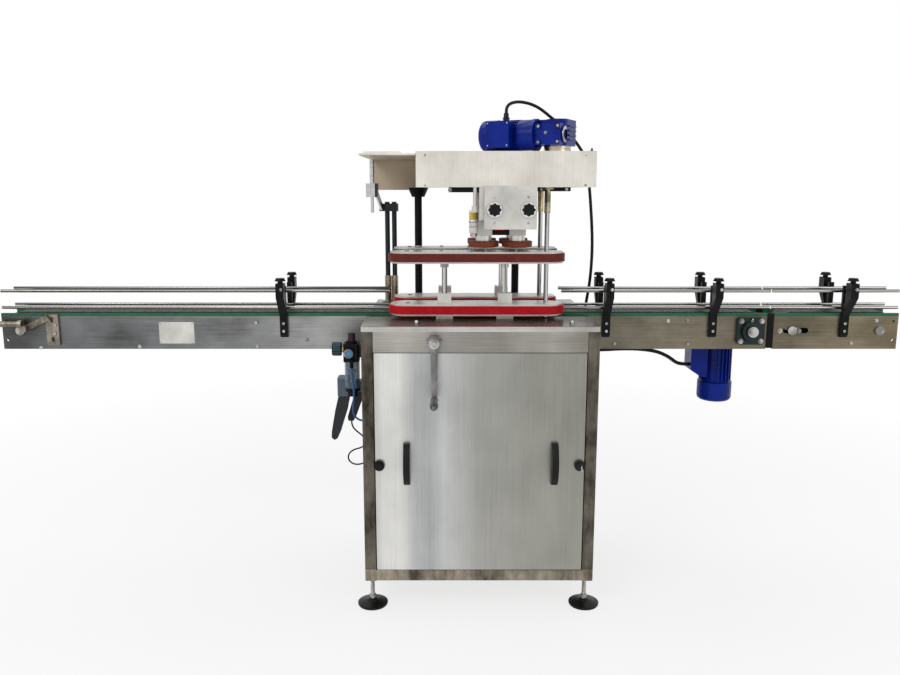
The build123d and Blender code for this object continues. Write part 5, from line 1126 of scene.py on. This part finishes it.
# %% [markdown]
# ## Cabinet front
#
# The crank is held on its shaft by a nut and washer, and the left lock has a ring and a slot
# for a tool. They could be part of the model. They are thin and turn with pieces that are
# there already, so they are added here and ride the crank and the lock.

# %% Crank nut and lock face
CRANK_FRONT = (-45.0, -281.0, 847.0)
LOCK_FRONT = -249.0
LOCK_Z = 472
WASHER_THICK = 2.2
washer = turned([(14.5, 0), (15, 0.5), (15, 1.8), (14.5, WASHER_THICK)], 36)
hexagon = placed(turned([(8.6, 0), (8.6, 6), (7.4, 7)], 6), (0, 0, WASHER_THICK))
add_piece("crank_nut", placed(joined(washer, hexagon), CRANK_FRONT, FRONT), "crank")
lock_low, lock_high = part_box("lock_knob_left")
LOCK_PLACE = ((lock_low[0] + lock_high[0]) / 2 / MM, LOCK_FRONT, LOCK_Z)
lock_face = joined(placed(ring_of(6.5, 9.4, 0, 0.5), LOCK_PLACE, FRONT),
                   placed(plate(1.6, 11, 0.4, 0.5, 0.1), LOCK_PLACE, FRONT))
add_piece("lock_face", lock_face, "lock_knob_left", "black_plastic")

# %% [markdown]
# ## Air unit
#
# The gauge has a chrome ring and a pale blue face with marks and a needle. The shut-off wheel
# is dark teal with eighteen ribs and sits on a brass fitting, and the clear bowl holds a
# filter element. The gauge's face could be a picture, but eleven small plates and a needle
# are enough to read as a gauge. The ribs of the wheel are a cosine wave in its radius.

# %% Gauge
GAUGE_X = AIR_X - 6
GAUGE_Y = AIR_Y - 36.0
GAUGE_Z = 800.0
GAUGE_PLACE = (GAUGE_X, GAUGE_Y, GAUGE_Z)
FACE_Y = GAUGE_Y - 0.6
MARK_CIRCLE = 8.3
GAUGE_BLUE = moulded("gauge_face", (0.10, 0.26, 0.44), 0.3)
GAUGE_CHROME = polished("gauge_rim", (0.30, 0.33, 0.38), 0.15, 0.4)
add_piece("gauge_ring", placed(ring_of(9.8, 14.2, -1.0, 2.6), GAUGE_PLACE, FRONT),
          "base", "machined_steel", GAUGE_CHROME)
add_piece("gauge_face", placed(turned([(9.7, 0.05), (9.7, 0.6)], 36), GAUGE_PLACE, FRONT),
          "base", "blue_hose", GAUGE_BLUE)
needle = placed(plate(7.5, 0.7, 0.3, 0.3, 0.05), (GAUGE_X - 2, FACE_Y, GAUGE_Z + 2),
                FRONT, (0.7, 0, 0.7))
gauge_marks = [radial_mark((GAUGE_X, FACE_Y, GAUGE_Z), MARK_CIRCLE, angle, 1.6)
               for angle in np.linspace(-0.7, 3.84, 11)]
add_piece("gauge_marks", joined(needle, *gauge_marks), "base", "black_parts")

# %% Wheel and filter element
WHEEL_RADIUS = 20.3
RIB_COUNT = 18
RIB_HEIGHT = 0.7
WHEEL_SIDES = 72
TEAL_PLASTIC = moulded("teal_wheel", (0.008, 0.050, 0.066), 0.4)
wheel_angle = np.linspace(0.0, 2 * np.pi, WHEEL_SIDES, endpoint=False)
wheel_radius = WHEEL_RADIUS + RIB_HEIGHT * np.cos(RIB_COUNT * wheel_angle)
wheel_rings = []
for inset, height in ((2.5, 0), (0.0, 2.0), (0.0, 24.0), (2.5, 26.5)):
    reach = wheel_radius - inset
    wheel_rings.append(np.column_stack([reach * np.cos(wheel_angle), reach * np.sin(wheel_angle),
                                        np.full(WHEEL_SIDES, height)]))
add_piece("shut_off_wheel", placed(loft(wheel_rings), (AIR_X - 31.2, AIR_Y, 808), LEFT),
          "base", "black_parts", TEAL_PLASTIC)
wheel_hexagon = turned([(8.6, 0), (8.6, 5), (7.4, 6), (7.4, 7.6)], 6)
add_piece("wheel_fitting", placed(wheel_hexagon, (AIR_X - 23.4, AIR_Y, 806), LEFT),
          "base", "brass_bushes", BRASS)
FILTER_FOOT = 701
element = turned([(9, 0), (11, 1), (11, 5), (7, 6), (7, 34), (12, 35), (12, 44), (6, 45),
                  (6, 70)], 28)
add_piece("filter_element", placed(element, (AIR_X, AIR_Y, FILTER_FOOT)),
          "base", "aluminium_parts")

# %% [markdown]
# ## Floor
#
# The machine stands on a pale floor that takes a soft shadow. A small floor would end in a
# visible edge, and a plain large one would show a horizon. So the floor is large and matt,
# and its shader fades from paint to a white glow with the distance from the machine. The
# glow is only there for rays that are seen, so it doesn't light the machine from below.

# %% Floor
FLOOR_HALF = 14.0
FADE_START = 0.9
FADE_END = 3.2
GLOW_NEAR = 0.74
floor_mesh = bpy.data.meshes.new("floor")
floor_corners = [(x * FLOOR_HALF, y * FLOOR_HALF, 0.0) for x, y in ((-1, -1), (1, -1), (1, 1), (-1, 1))]
floor_mesh.from_pydata(floor_corners, [], [(0, 1, 2, 3)])
floor = bpy.data.objects.new("floor", floor_mesh)
floor_finish = Finish("floor", roughness=0.9, Specular_IOR_Level=0.0)
floor_finish.set(Base_Color=(0.93, 0.93, 0.93, 1.0))
distance = floor_finish.node("VectorMath", {0: floor_finish.coordinates}, operation="LENGTH")
fade = floor_finish.between(distance.outputs["Value"], GLOW_NEAR, 1.0, FADE_START, FADE_END)
fade = floor_finish.math("MULTIPLY", fade, seen_directly(floor_finish.tree))
glow = floor_finish.node("Emission", {"Color": (1.0, 1.0, 1.0, 1.0)})
mixed = floor_finish.node("MixShader", {0: fade, 1: floor_finish.shader.outputs[0],
                                        2: glow.outputs[0]})
surface = floor_finish.tree.nodes["Material Output"].inputs["Surface"]
floor_finish.tree.links.new(mixed.outputs[0], surface)
floor_mesh.materials.append(floor_finish.material)
bpy.context.scene.collection.objects.link(floor)
print("floor", 2 * FLOOR_HALF, "m wide")
